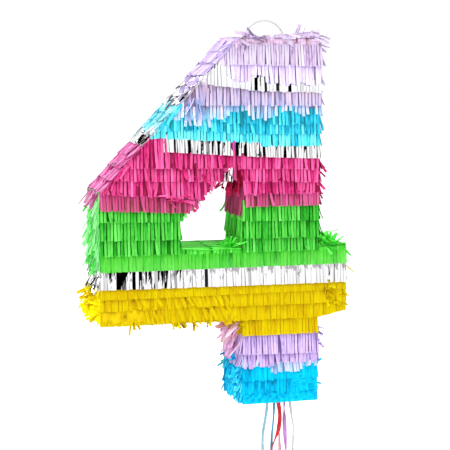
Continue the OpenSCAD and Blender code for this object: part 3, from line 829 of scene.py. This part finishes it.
def lay_row(rng, sheet, face, row, u, start, end, offset=0.0, mess=None, lift=5.6, curl=0.0):
    """Lays one row's strips on a face: the glued header, then two layers of loose strips."""
    slant = np.zeros(len(u))
    if face in (FRONT, BACK):
        slant[(u < SLOPE_TOP_X) & (start > outline_top(u) - 1.0)] = SLOPE
    mess = row.mess if mess is None else mess
    film = row.colour.endswith("film")
    start, end = start * face.stretch, end * face.stretch
    stand = math.radians(0.0 if row.missing else max(0.0, lift - 0.9))
    backing = strips(face, u, start, start - end - 1.5, row.pitch * 1.02, BACKING, offset + BACKING,
                     lift=stand, slant=slant, rings=2)
    # the backing takes the row's low under mark, so it is painted in the dark gap colour: painted shade
    # between the strips
    sheet.add(rng, backing, row.under, 0.3)
    here = rng.random(len(u)) >= row.missing
    u, start, end, slant = u[here], start[here], end[here], slant[here]
    count = len(u)

    def vary(degrees):
        return rng.normal(0, math.radians(degrees), count)

    cut = rng.normal(0, 0.45 * row.ragged, count)
    lean = vary(1.2 * mess)
    stray = rng.random(count) < 0.03 * mess
    lean = np.where(stray, vary(12), lean)
    if row.tilt:
        swung = (u > row.tilt[0]) & (u < row.tilt[1]) & (rng.random(count) < 0.65)
        lean = np.where(swung, np.radians(rng.normal(row.tilt[2], 9, count)), lean)
    roll = vary(3.0)
    if film:
        roll = vary(2.2 * mess)
        if row.shine:
            turned = (u > row.shine[0]) & (u < row.shine[1]) & (rng.random(count) < row.shine[2])
            roll = np.where(turned, np.radians(rng.uniform(5, 12, count)), roll)
    out = math.radians(lift) + vary(0.9 * mess)
    bow = curl * rng.random(count) + vary(4 * mess)
    bow = np.where(stray, rng.uniform(0.1, 0.8, count), bow)
    bend = vary(2.5 * mess)
    twist = vary(5 * mess)
    if film:
        twist = np.where(roll > 0.08, -roll * rng.uniform(-0.4, 1.9, count), twist)
    width = (row.pitch - row.gap) * rng.uniform(0.94, 1.03, count)
    for upper in (0, 1):
        lower = 1 - upper
        beside = u + lower * rng.normal(0, 0.15, count)
        length = np.maximum(3.0, start - end + cut - 0.7 * lower)
        way = lean + lower * vary(0.8)
        height, rise = offset + FIRST_LAYER + LAYER_STEP * upper, out + math.radians(0.7) * upper
        made = strips(face, beside, start, length, width, FILM if film else TISSUE, height, way, bend, rise,
                      bow, roll, twist, slant)
        # the lower layer of loose strips is made 0.1 darker: painted shade where it lies under the upper
        # layer
        sheet.add(rng, made, row.tone - 0.1 * lower, row.spread)


def columns(low, high, pitch):
    """Middles of the strips that fill the span from low to high."""
    count = max(1, round((high - low) / pitch))
    return low + (np.arange(count) + 0.5) * (high - low) / count


FRONT = Face((0, FACE_Y, 0), (1, 0, 0), (0, 0, 1), (0, -1, 0))
BACK = Face((0, -FACE_Y, 0), (1, 0, 0), (0, 0, 1), (0, 1, 0))


def row_top(rows, index, x, highest):
    """Height at which a row is glued: its header goes up under the row above."""
    if index == 0:
        return np.full(np.shape(x), highest)
    own = rows[index].low(x)
    return np.maximum(rows[index - 1].low(x) + GLUED, own + SHORTEST_ROW)


def front_row(index, row):
    if row.name == "foot_6":
        return  # the hem of the foot is a crumpled sheet
    rng = np.random.default_rng(100 + index)
    u = columns(0.0, WIDTH, row.pitch)
    top = row_top(ROWS, index, u, HEIGHT - CROWN_HEADER)
    if row.name == "pink_1":
        top = np.where(u < FILM_LEFT + 5, top + 14, top)
    start, end, there = covered(u, top, row.low(u), row.reach)
    if row.name == "yellow_3":
        there &= u > CORNER_SHEET
    if row.name == "middle_film":
        there &= u > FILM_LEFT
    sheet = Paper()
    lay_row(rng, sheet, FRONT, row, u[there], start[there], end[there])
    put(sheet.piece("front_" + row.name, paper(row.colour)), "carton", row.node, row.slot)


def crown_headers():
    """The glued tops of the highest rows, where the card tints the thin paper."""
    for name, face, seed in (("front", FRONT, 51), ("back", BACK, 52)):
        rng = np.random.default_rng(seed)
        u = columns(0.0, WIDTH, 3.2)
        glued, cut = np.full(len(u), HEIGHT - 0.5), np.full(len(u), HEIGHT - CROWN_HEADER - 3)
        start, end, there = covered(u, glued, cut, 3.0)
        u, start, end = u[there], start[there], end[there]
        sheet = Paper()
        sheet.add(rng, strips(face, u, start, start - end, 3.25, 0.25, 0.3, rings=2), 0.0, 0.6)
        lift = np.radians(rng.uniform(3, 9, len(u)))
        lean = np.radians(rng.normal(0, 4, len(u)))
        loose = strips(face, u, start, rng.uniform(4, 9, len(u)), 2.9, 0.25, 0.6, lean, 0.0, lift)
        sheet.add(rng, loose, 0.1, 0.8)
        put(sheet.piece(name + "_crown_header", paper("crown_header")), "carton", *LILAC)


FLAP_LEFT, FLAP_RIGHT = measure("fill_flap", 0, 0), measure("fill_flap", 1, 0)
FLAP_LOW, FLAP_TOP = measure("fill_flap", 0, 2), measure("fill_flap", 1, 2)
# Clearances round the flap, which keep its fringe and the fixed fringe apart as it lifts
FLAP_MARGIN = 2.5  # past the flap's sides, where strips still count as on it
STRAIGHT_MARGIN = 8.0  # past the flap's sides, where strips lie nearly straight
FLAP_INSET = 5.0  # in from the flap's sides, where its strips start lower than further in
ABOVE_HINGE = 3.5  # where fixed strips end
BELOW_HINGE = 1.2  # where the flap's strips start
BELOW_HINGE_AT_SIDES = 5.0
LOW_OVERHANG = 5.0  # how far the flap's strips may hang past its lower cut
BACK_LEVEL_X = WIDTH / 2 + 60  # the back's rows are level, as high as the front's are here


def near_flap(u, margin):
    return (u > FLAP_LEFT - margin) & (u < FLAP_RIGHT + margin)


def back_row(index, row):
    rng = np.random.default_rng(200 + index)
    u = columns(0.0, WIDTH, row.pitch)
    low = np.full(len(u), float(row.low(BACK_LEVEL_X)))
    top = np.full(len(u), float(row_top(ROWS, index, np.array(BACK_LEVEL_X), HEIGHT - CROWN_HEADER)))
    start, end, there = covered(u, top, low, row.reach)
    beside_hole = (u > STEM_LEFT - 6) & (u < STEM_LEFT + 3) & (end > BAR_TOP - 8)
    there &= ~(beside_hole & (end < hole_slope(STEM_LEFT) - 6))
    on_flap = near_flap(u, FLAP_MARGIN)
    fixed, swinging = Paper(), Paper()

    def lay(sheet, which, top_end, low_end, **how):
        which = which & (top_end - low_end > SHORTEST_STRIP)
        lay_row(rng, sheet, BACK, row, u[which], top_end[which], low_end[which], **how)

    beside_flap = near_flap(u, STRAIGHT_MARGIN)
    lay(fixed, there & ~beside_flap, start, end)
    lay(fixed, there & beside_flap & ~on_flap, start, end, mess=0.1)
    # where the flap is, a strip stays on the side of the hinge line or of the lower cut where it is glued
    over = there & on_flap & (start > FLAP_TOP)
    lay(fixed, over, start, np.maximum(end, FLAP_TOP + ABOVE_HINGE))
    top_of_flap = FLAP_TOP - np.where(near_flap(u, -FLAP_INSET), BELOW_HINGE, BELOW_HINGE_AT_SIDES)
    rides = end > FLAP_LOW - LOW_OVERHANG
    lay(swinging, there & on_flap & rides, np.minimum(start, top_of_flap), end)
    lay(fixed, there & on_flap & ~rides, np.minimum(start, FLAP_LOW - 0.5), end)
    crossing = over & (end < FLAP_TOP)
    if crossing.any() and not row.colour.endswith("film"):
        start = np.full(crossing.sum(), FLAP_TOP + 6)
        header = strips(BACK, u[crossing], start, 4.8, row.pitch * 1.02, 0.15, BACKING, rings=2)
        fixed.add(rng, header, -0.05, 0.4)
    put(fixed.piece("back_" + row.name, paper(row.colour)), "carton", row.node, row.slot)
    if swinging.count:
        piece = swinging.piece("flap_" + row.name, paper(row.colour))
        put(piece, "fill_flap", "fill_flap_fringe", row.slot)


SLOPE_RUN = 1 / SLOPE_STRETCH
UP_SLOPE = (SLOPE_RUN / SLOPE, 0, SLOPE_RUN)
SLOPE_OUT = (-SLOPE_RUN, 0, SLOPE_RUN / SLOPE)
DEPTH_AXIS = (0, 1, 0)
SLOPE_START = np.array((0.0, 0.0, SLOPE_FOOT_Z)) - EDGE * np.array(SLOPE_OUT)
SLOPE_FACE = Face(SLOPE_START, DEPTH_AXIS, UP_SLOPE, SLOPE_OUT, SLOPE_STRETCH)
HALF_SPAN = -FACE_Y + 1.5  # how far the rows on the edges reach to the front and back


def upright(x, bottom, out):
    """An upright edge face at x. h is measured up from bottom, and out is -1 to the left, 1 to the right."""
    return Face((x - out * EDGE, 0, bottom), DEPTH_AXIS, (0, 0, 1), (out, 0, 0))


# Each upright edge face, and the heights between which it is covered
EDGES = {
    "left_end": (upright(0.0, BAR_BOTTOM, -1), BAR_BOTTOM, SLOPE_FOOT_Z),
    "stem_right": (upright(STEM_RIGHT, BAR_TOP, 1), BAR_TOP, HEIGHT),
    "stub_end": (upright(WIDTH, BAR_BOTTOM + STUB_RISE, 1), BAR_BOTTOM + STUB_RISE, BAR_TOP),
    "foot_left": (upright(STEM_LEFT, 0.0, -1), 0.0, BAR_BOTTOM),
    "foot_right": (upright(STEM_RIGHT, 0.0, 1), 0.0, BAR_BOTTOM),
    "hole_right": (upright(STEM_LEFT, BAR_TOP, -1), BAR_TOP, float(hole_slope(STEM_LEFT))),
    "hole_left": (upright(HOLE_LEFT, BAR_TOP, 1), BAR_TOP, HOLE_TURN_Z),
}


# Faces that look away from the light, where the fringe takes a lighter or deeper copy of its colour: painted
# light and shade
IN_SHADE = {
    ("hole_right", "green"): "sunlit_green",
    ("hole_right", "pink"): "crimson",
    ("foot_left", "foot_blue"): "side_blue",
}


# Where along the front's rows an edge's rows take their heights
EDGE_X = {"left_end": 0.0, "stub_end": WIDTH, "stem_right": STEM_RIGHT, "foot_right": STEM_RIGHT}
HOLE_PINK_DROP = 12.0  # how much lower the pink ends on the hole's right side than on the front


def face_row(rows, index, name, face, bottom, top, seed, **how):
    """One row on a face that runs across the number's depth, between two heights."""
    row = rows[index]
    x = EDGE_X.get(name, STEM_LEFT)
    drop = HOLE_PINK_DROP if (name, row.name) == ("hole_right", "pink_4") else 0.0
    low = max(float(row.low(x)) - drop, bottom + 0.5)
    high = min(float(row_top(rows, index, np.array(x), top)), top)
    if high - low < 5:
        return
    rng = np.random.default_rng(seed + index)
    u = columns(-HALF_SPAN, HALF_SPAN, row.pitch)
    start, end = np.full(len(u), high - bottom), np.full(len(u), low - bottom)
    sheet = Paper()
    lay_row(rng, sheet, face, row, u, start, end, -0.2, **how)
    # on these faces the row takes a lighter or deeper copy of its colour: painted light and shade
    colour = IN_SHADE.get((name, row.colour), row.colour)
    put(sheet.piece(name + "_" + row.name, paper(colour)), "carton", row.node, row.slot)


def make_edges():
    for number, (name, (face, bottom, top)) in enumerate(EDGES.items()):
        rows = LEFT_ROWS if name == "left_end" else ROWS
        loose = name in ("foot_left", "stem_right")
        for index in range(len(rows)):
            face_row(rows, index, name, face, bottom, top, 1000 + 50 * number,
                     lift=7.0 if loose else 2.5 if name == "hole_right" else 5.0,
                     curl=0.5 if loose else 0.1)
    for index in range(len(SLOPE_ROWS)):
        face_row(SLOPE_ROWS, index, "slope", SLOPE_FACE, SLOPE_FOOT_Z, HEIGHT, 2000, lift=2.8, curl=0.1)


def flat_rows(name, face, low, high, spacing, colour, band, seed, mess=1.5, lift=4.4, gap=0.6, under=-0.5):
    """Rows that lie on a level face, or hang a little under one. Their tips point against its up axis."""
    rng = np.random.default_rng(seed)
    u = columns(-HALF_SPAN, HALF_SPAN, 3.9)
    row = Row(name, *band, colour, 0, gap=gap, mess=mess, ragged=2.0, under=under)
    sheet = Paper()
    count = max(1, round((high - low) / spacing))
    spacing = (high - low) / count
    for step in range(count):
        edge = low + step * spacing
        start = np.full(len(u), min(edge + spacing + GLUED, high))
        lay_row(rng, sheet, face, row, u, start, np.full(len(u), edge + 0.3), -0.2, lift=lift)
    put(sheet.piece(name, paper(colour)), "carton", *band)


FLOOR_FACE = Face((0, 0, EDGE), DEPTH_AXIS, (-1, 0, 0), (0, 0, -1))  # the foot's underside


def make_level_faces():
    depth = DEPTH_AXIS
    top = Face((0, 0, HEIGHT - EDGE), depth, (1, 0, 0), (0, 0, 1))
    flat_rows("top_fringe", top, SLOPE_TOP_X, STEM_RIGHT, 14, "lilac", LILAC, 301, 0.5, 1.2)
    stub_top = Face((0, 0, BAR_TOP - EDGE), depth, (-1, 0, 0), (0, 0, 1))
    flat_rows("stub_top_fringe", stub_top, -WIDTH, -STEM_RIGHT, 12, "green", GREEN, 302, 1.6)
    hole_bottom = Face((0, 0, BAR_TOP - EDGE), depth, (1, 0, 0), (0, 0, 1))
    # the floor of the hole takes the brighter green copy: painted light where the number above shades it
    flat_rows("hole_bottom_fringe", hole_bottom, HOLE_LEFT, STEM_LEFT, 36, "sunlit_green", GREEN, 303, 0.3,
              1.5, 0.1, -0.1)
    bar_under = Face((0, 0, BAR_BOTTOM + EDGE), depth, (-1, 0, 0), (0, 0, -1))
    flat_rows("bar_underside_fringe", bar_under, -STEM_LEFT, 0, 15, "yellow", YELLOW, 304, 0.8, 2.0)
    run = WIDTH - STEM_RIGHT
    reach = math.hypot(run, STUB_RISE)
    up = (run / reach, 0, STUB_RISE / reach)
    down = (STUB_RISE / reach, 0, -run / reach)
    stub_under = Face((STEM_RIGHT - EDGE * down[0], 0, BAR_BOTTOM + EDGE), depth, up, down)
    flat_rows("stub_underside_fringe", stub_under, 0, reach, 12, "yellow", YELLOW, 305, 0.8, 2.0)
    origin = np.array((HOLE_LEFT, 0, HOLE_TURN_Z)) + EDGE * np.array(SLOPE_OUT)
    hole_under = Face(origin, depth, UP_SLOPE, -np.array(SLOPE_OUT))
    reach = (float(hole_slope(STEM_LEFT)) - HOLE_TURN_Z) * SLOPE_STRETCH
    flat_rows("hole_slope_fringe", hole_under, 0, reach, 15, "pink", PINK, 306, 1.2, 3.0)


# ---------------------------------------------------------------- loose strands and crumpled sheets

def tuft(name, band, colour, seed, count, low, high, way, stray, length, droop=0.02, curl=0.02, width=3.4,
         line=False):
    """A cluster of strands that have sprung out of the fringe, starting within the box from low to high.

    With line set, x and z rise together, as on a sloping edge.
    """
    rng = np.random.default_rng(seed)
    part = rng.random((count, 3))
    if line:
        part[:, 2] = part[:, 0]
    starts = np.array(low) + part * (np.array(high) - np.array(low))
    ways = np.array(way, dtype=float) / np.linalg.norm(way) + rng.normal(0, stray, (count, 3))
    lengths, widths = rng.uniform(0.7, 1.1, count) * length, width * rng.uniform(0.8, 1.1, count)
    made = streamers(rng, starts, ways, lengths, widths, droop=droop, curl=rng.normal(0, curl, count))
    sheet = Paper()
    sheet.add(rng, made, 0.0, 0.8)
    put(sheet.piece("strands_" + name, paper(colour)), "carton", *band)


def slope_tuft(name, band, colour, seed, count, x0, x1, stray, length, back=30, off=0.5, width=3.4):
    """A tuft down the sloping edge between x0 and x1, from the front to y = back and off above the card."""
    low, high = ((x, y, float(outline_top(x)) + off) for x, y in ((x0, FACE_Y - 2), (x1, back)))
    down = (-0.68, 0, -0.74)
    tuft(name, band, colour, seed, count, low, high, down, stray, length, width=width, line=True)


def make_tufts():
    front, top = FACE_Y - 2, HEIGHT
    # along the top edge
    for row in (
        ("top_right", LILAC, "lilac", 1, 12, (212, front, top), (250, -20, top + 3), (1, 0, 0.05), 0.25,
         24),
        ("top_left", LILAC, "lilac", 2, 9, (165, front, top), (195, -20, top + 2), (-0.9, -0.1, 0.2), 0.3,
         18),
        ("top_raised", LILAC, "lilac", 3, 5, (224, front, top), (250, -25, top + 2), (0.6, 0, 0.8), 0.3,
         13),
        ("top_edge", LILAC, "lilac", 4, 14, (168, front - 1, top - 3), (252, front, top + 1), (1, 0, -0.1),
         0.25, 14),
        ("crown_right", LILAC, "lilac", 5, 6, (252, front, top - 12), (255, -10, top - 2), (1, 0, -0.2),
         0.35, 15),
        ("crown_corner", LILAC, "lilac", 6, 9, (158, front - 1, 405), (168, front, 418), (0.8, 0, -0.5),
         0.5, 17),
        ("crown_side", LILAC, "lilac", 7, 5, (252, front, 365), (255, -20, 392), (0.35, 0, -1), 0.25, 14),
    ):
        tuft(*row)
    # down the sloping edge
    for row in (
        ("slope_crown", LILAC, "slope_lilac", 8, 12, 104, 124, 0.22, 18),
        ("slope_high", LILAC, "slope_lilac", 28, 14, 130, 156, 0.3, 17),
        ("slope_violet", SHOULDER, "shoulder", 33, 5, 100, 118, 0.35, 16, 35, 2.0),
        ("slope_film", UPPER_FILM, "slope_film", 29, 6, 92, 112, 0.08, 20, 30, 0.5, 5),
        ("slope_film_low", MIDDLE_FILM, "slope_film", 30, 6, 56, 63, 0.06, 17, 30, 0.5, 5),
        ("slope_grey", MIDDLE_FILM, "slope_film", 34, 3, 61, 65, 0.5, 14, -20, 2.0),
        ("slope_blue", BLUE, "slope_blue", 32, 6, 68, 92, 0.12, 16, 30, 0.5, 5),
        ("slope_pink", PINK, "slope_pink", 31, 14, 10, 44, 0.2, 16, 30, 0.5, 5),
        ("slope_edge_blue", BLUE, "blue", 35, 14, 72, 94, 0.1, 14, front - 1, -4.0),
        ("slope_edge_pink", PINK, "pink", 36, 16, 8, 50, 0.12, 16, front - 1, -4.0),
    ):
        slope_tuft(*row)
    for row in (
        ("shoulder_left", SHOULDER, "periwinkle", 37, 22, (98, front, 336), (122, front - 1, 352),
         (-0.1, -0.08, -1), 0.22, 20),
        ("shoulder_violet", SHOULDER, "shoulder", 38, 7, (117, front - 1, 362), (124, front, 371),
         (0.05, -0.05, -1), 0.12, 22),
        # to the right of the stem
        ("blue_right", BLUE, "blue", 9, 8, (253, front, 312), (256, -15, 345), (0.3, 0, -1), 0.2, 20),
        ("pink_right", PINK, "pink", 10, 14, (253, front, 240), (256, -10, 285), (0.6, 0, -0.7), 0.35, 15),
        ("green_stub", GREEN, "sunlit_green", 11, 10, (260, front, 182), (282, -10, 184), (0.25, -0.05, 1),
         0.4, 17),
        ("green_stub_side", GREEN, "sunlit_green", 42, 24, (256, front, 184), (260, -10, 200),
         (0.9, -0.05, -0.45), 0.22, 27, 0.0, 0.02),
        ("green_stub_end", GREEN, "pale_green", 12, 7, (286, front, 165), (289, 0, 184), (0.5, 0, -0.8),
         0.35, 8),
        ("yellow_bits", YELLOW, "yellow", 44, 14, (262, front - 1, 110), (286, front - 2, 136),
         (0.7, -0.2, -0.5), 0.4, 8),
        ("yellow_stub_end", YELLOW, "yellow", 13, 20, (287, front, 116), (290, 5, 162), (0.45, 0, -0.7),
         0.4, 14),
        # the foot
        ("lilac_foot_right", FOOT_LILAC, "foot_lilac", 14, 12, (253, front, 68), (256, -10, 98),
         (0.7, 0, -0.6), 0.35, 14),
        ("blue_foot_right", FOOT_BLUE, "foot_blue", 15, 8, (253, front, 12), (256, -10, 42), (0.9, 0, 0.1),
         0.5, 10),
        ("lilac_foot_left", FOOT_LILAC, "strand_pink", 16, 40, (161, front, 66), (165, 20, 98),
         (-0.8, -0.15, -0.6), 0.35, 22),
        ("blue_foot_left", FOOT_BLUE, "side_blue", 17, 26, (161, front, 16), (165, 30, 54),
         (-0.6, -0.2, 0.15), 0.6, 11),
        ("yellow_foot_left", YELLOW, "yellow", 18, 14, (140, front, 99), (166, -10, 104), (0.5, -0.2, -0.6),
         0.45, 12),
        # under the bar and at its left end
        ("yellow_under", YELLOW, "yellow", 19, 26, (30, front, 99), (150, front + 4, 104),
         (0.5, -0.2, -0.75), 0.35, 11),
        ("yellow_left", YELLOW, "left_yellow", 20, 56, (-2, -36, 108), (1, 34, 136), (-0.95, -0.05, 0.1),
         0.35, 15, 0.04, 0.05, 3.8),
        ("film_left", LOWER_FILM, "film", 21, 26, (-2, -36, 146), (0, 30, 158), (-0.45, -0.05, -0.85), 0.2,
         16, 0.0, 0.01, 1.9),
        ("green_left", GREEN, "left_green", 22, 46, (-2, -37, 165), (0, 36, 240), (-0.3, -0.05, -0.95), 0.2,
         17),
        ("pink_left", PINK, "slope_pink", 23, 24, (-1, -37, 242), (1, 30, 249), (-0.4, -0.1, -0.85), 0.25,
         18),
        # in the hole
        ("pink_hole", PINK, "dark_pink", 24, 34, (150, front, 250), (164, 5, 285), (-0.55, -0.1, -0.8), 0.4,
         18),
        ("pink_hole_edge", PINK, "pink", 25, 16, (98, front, 224), (146, front + 3, 276),
         (0.6, -0.05, -0.8), 0.3, 9, 0.02, 0.02, 3.4, True),
        ("film_hole", MIDDLE_FILM, "film", 39, 7, (142, front - 3, 266), (151, front - 2, 276),
         (-0.15, -0.03, -1), 0.25, 15, 0.02, 0.02, 3.4, True),
        ("pink_folds", PINK, "pink", 40, 14, (62, front - 1, 237), (104, front, 244), (1, -0.06, -0.15),
         0.2, 13, 0.01, 0.02, 4.2),
        ("pink_folds_high", PINK, "pink", 41, 9, (78, front - 1, 262), (128, front, 280),
         (0.6, -0.06, -0.8), 0.3, 14, 0.01, 0.02, 4.2),
        ("green_hole", GREEN, "sunlit_green", 26, 20, (138, front, 182), (164, 0, 184), (0.5, -0.3, 0.5),
         0.5, 15),
        ("pink_long_top", PINK, "magenta", 43, 2, (151.5, front - 4, 304), (153, front - 3.5, 305),
         (0.06, 0, -1), 0.02, 12, 0.0, 0.0),
        ("pink_long", PINK, "pink", 27, 2, (151, front - 3, 300), (154, front - 2, 303), (0.06, -0.02, -1),
         0.02, 40, 0.0, 0.0),
    ):
        tuft(*row)


def folds(rng, a, b, size, number=7):
    """A crumpled height between 0 and 1 over points (a, b): straight creases in many directions."""
    height = np.zeros(np.shape(a))
    for _ in range(number):
        turn, scale = rng.uniform(0, math.pi), size * rng.uniform(0.6, 1.8)
        along = (a * math.cos(turn) + b * math.sin(turn)) / scale + rng.random()
        height += np.abs(along % 1.0 - 0.5) * 2 * rng.uniform(0.5, 1.0)
        a, b = a + 0.35 * size * height / number, b - 0.25 * size * height / number
    height -= height.min()
    return height / height.max()


SHEET_GRID = 1.5


def crumpled(name, band, colour, face, u0, u1, h0, h1, depth, seed, size=9.0, ragged=1.5):
    """A crumpled sheet over part of a face: a creased front skin over a flat back."""
    rng = np.random.default_rng(seed)
    nu, nh = (max(4, round(span / SHEET_GRID)) for span in (u1 - u0, h1 - h0))
    u, h = np.meshgrid(np.linspace(u0, u1, nu), np.linspace(h0, h1, nh), indexing="ij")
    fold = folds(rng, u, h, size)
    rim = np.clip(np.minimum(np.minimum(u - u0, u1 - u), np.minimum(h - h0, h1 - h)) / 4.0, 0, 1)
    wander = ragged * (folds(rng, u, h, size * 0.7) - 0.5) * (1 - rim)
    h = h + np.where(h > (h0 + h1) / 2, wander, 0)
    top = face.points(u, h, 0.4 + depth * (0.25 + 0.75 * fold) * (0.3 + 0.7 * rim))
    base = face.points(u, h, np.full_like(u, 0.1))
    verts = np.concatenate([top.reshape(-1, 3), base.reshape(-1, 3)])
    index = np.arange(nu * nh).reshape(nu, nh)
    a, b, c, d = index[:-1, :-1], index[1:, :-1], index[1:, 1:], index[:-1, 1:]
    up = np.stack([a, b, c, d], -1).reshape(-1, 4)
    down = (np.stack([d, c, b, a], -1) + nu * nh).reshape(-1, 4)
    edge = np.concatenate([index[:, 0], index[-1, 1:], index[-2::-1, -1], index[0, -2:0:-1]])
    sides = [(p, p + nu * nh, q + nu * nh, q) for p, q in zip(edge, np.roll(edge, -1))]
    faces = np.concatenate([up, down, np.array(sides)])
    if face.mirrored:
        faces = faces[:, ::-1]
    marks = np.ones((len(verts), 4))
    # the shade mark rises with the crease height, so the hollows of the creases are painted darker: painted
    # shade
    marks[:, 0] = 0.28 + 0.5 * np.concatenate([fold.ravel(), fold.ravel() * 0])
    # the place along is 0, so the whole sheet also takes the painted shade of a strip's glued top
    marks[:, 1] = 0.0
    marks[:, 2] = 0.5
    put(link("sheet_" + name, to_row(verts), faces, paper(colour), marks), "carton", *band)


def make_sheets():
    left_end, foot_left = EDGES["left_end"][0], EDGES["foot_left"][0]
    stem = STEM_LEFT + 0.5, STEM_RIGHT - 0.5
    crumpled("bar_end", YELLOW, "left_yellow", left_end, -37, 37, 0.5, 33, 6.0, 40, 10)
    crumpled("bar_corner", YELLOW, "corner_yellow", FRONT, 0.5, 52, BAR_BOTTOM, 119, 1.6, 41, 12)
    crumpled("foot_hem", FOOT_BLUE, "foot_blue", FRONT, *stem, 0.5, 15, 3.8, 42, 6, 7.0)
    crumpled("foot_corner", FOOT_BLUE, "foot_blue", FRONT, 222, stem[1], 11, 38, 3.8, 43, 6, 7.0)
    crumpled("foot_side", FOOT_BLUE, "foot_blue", foot_left, -37, 37, 0.5, 18, 3.0, 44, 9)
    # round the trap door and the ribbons' patch on the underside, where u is y and h is -x
    door_back, patch_front = measure("trap_door_tissue", 1, 1), measure("ribbon_patch", 0, 1)
    door_left, door_right = measure("trap_door_tissue", 0, 0), measure("trap_door_tissue", 1, 0)
    for name, u0, u1, h0, h1, seed in (
        ("left", -38, 38, -door_left + 1.5, -STEM_LEFT - 1, 45),
        ("right", -38, 38, -STEM_RIGHT + 1, -door_right - 1.5, 46),
        ("front", -38, patch_front - 0.6, -door_right, -door_left, 47),
        ("back", door_back + 5, 38, -door_right, -door_left, 48),
    ):
        crumpled("floor_" + name, FOOT_BLUE, "foot_blue", FLOOR_FACE, u0, u1, h0, h1, 1.0, seed)


# ---------------------------------------------------------------- the rest

def cad_finish(name, slot_name):
    """The material of a CAD node that stays, or None where the pieces above stand for it."""
    if slot_name == "card":
        flutes = "X" if name in FLUTES_ALONG_X else "Y"
        return card_material("card_" + flutes, flutes)
    if slot_name == "paper_tape":
        return card_material("tape", "Y")
    if slot_name == "loop_wire":
        return wire_material("loop_wire")
    if slot_name.endswith("_ribbon"):
        return ribbon_material(slot_name)
    if slot_name == "blue_tissue":
        return plain_tissue("floor_tissue", (0.04, 0.79, 0.97))
    return None


FLUTES_ALONG_X = ("front_panel", "back_panel", "fill_flap", "trap_door", "loop_pad", "pull_washer")


def finish_cad_nodes():
    for entry in frame["record"]["subparts"]:
        material = cad_finish(entry["node"], entry["material_slot"])
        if material:
            node = frame["nodes"][entry["node"]]
            node.data.materials.clear()
            node.data.materials.append(material)


SOFT_LIGHT = 0.32  # strength of the light that comes from all round
MIRRORED_LIGHT = 1.05  # strength of the walls that the film mirrors
SCREEN_RIGHT = 0.075  # right edge of the dark screen, as the x of a direction
SCREEN_DEPTH = -0.2  # directions with a lower y are towards the screen, and the others have dark patches
WHITE = (1.0, 1.0, 1.0, 1.0)
LAMP_AIM = Vector((0.0, 0.0, -0.22))
# Each lamp's name, place, size and power
LAMPS = (
    ("key", (-1.6, -1.1, 1.5), 0.5, 30.0),
    ("front", (0.6, -1.8, 1.6), 0.5, 22.5),
    ("top", (-0.1, -0.2, 1.9), 0.8, 36.0),
    ("rear", (0.3, 2.2, 1.2), 1.2, 32.0),
)


def make_light():
    """A white studio: the film mirrors a dark screen that stands to the left of the camera."""
    bpy.context.scene.view_settings.view_transform = "Standard"
    w = Nodes("studio", bpy.data.worlds)
    bpy.context.scene.world = w.owner

    def rise(value, edge, soft_edge):
        return w.spread(value, edge - soft_edge, edge + soft_edge, 0.0, 1.0, "SMOOTHSTEP")

    def fall(value, edge, soft_edge):
        return w.spread(value, edge - soft_edge, edge + soft_edge, 1.0, 0.0, "SMOOTHSTEP")

    def glow(strength):
        return w.add("ShaderNodeBackground", Color=WHITE, Strength=strength).outputs["Background"]

    def choose(when, no, yes):
        node = w.add("ShaderNodeMixShader", Fac=when)
        w.set(node.inputs[1], no)
        w.set(node.inputs[2], yes)
        return node.outputs["Shader"]

    where = w.add("ShaderNodeTexCoord").outputs["Generated"]
    parts = w.add("ShaderNodeSeparateXYZ", Vector=where).outputs
    screen = w.times(fall(parts["X"], SCREEN_RIGHT, 0.02), fall(parts["Y"], SCREEN_DEPTH, 0.1))
    patches = w.times(rise(w.noise(where, 6.0, 2.0, 0.5), 0.6, 0.02), rise(parts["Y"], SCREEN_DEPTH, 0.1))
    dark = w.times(w.sum(screen, patches, "MAXIMUM"), MIRRORED_LIGHT)
    ray = w.add("ShaderNodeLightPath").outputs
    mirrored = choose(ray["Is Glossy Ray"], glow(SOFT_LIGHT), glow(w.sum(MIRRORED_LIGHT, dark, "SUBTRACT")))
    seen = choose(ray["Is Camera Ray"], mirrored, glow(1.0))
    w.set(w.tree.nodes["World Output"].inputs["Surface"], seen)
    for name, place, size, power in LAMPS:
        data = bpy.data.lights.new(name, "AREA")
        data.size = size
        data.energy = power
        lamp = bpy.data.objects.new(name, data)
        bpy.context.collection.objects.link(lamp)
        lamp.location = place
        lamp.visible_camera = False
        lamp.rotation_euler = (LAMP_AIM - Vector(place)).to_track_quat("-Z", "Y").to_euler()


FLOOR_SIZE = 12.0
FLOOR_DROP = 0.02  # below the part, so that it hangs clear


def make_floor():
    size, low = FLOOR_SIZE, CAD_BOX[0][2] - FLOOR_DROP
    verts = [(-size, -size, low), (size, -size, low), (size, size, low), (-size, size, low)]
    m = Nodes("floor", bpy.data.materials)
    material = m.finish(Base_Color=(0.9, 0.9, 0.9, 1.0), Roughness=0.9, Emission_Color=WHITE,
                        Emission_Strength=0.85)
    link("floor", verts, [(0, 1, 2, 3)], material)


make_camera()
make_ribbons()
make_light()
make_floor()
finish_cad_nodes()
for number, fringe in enumerate(ROWS):
    front_row(number, fringe)
    back_row(number, fringe)
crown_headers()
make_edges()
make_level_faces()
make_tufts()
make_sheets()
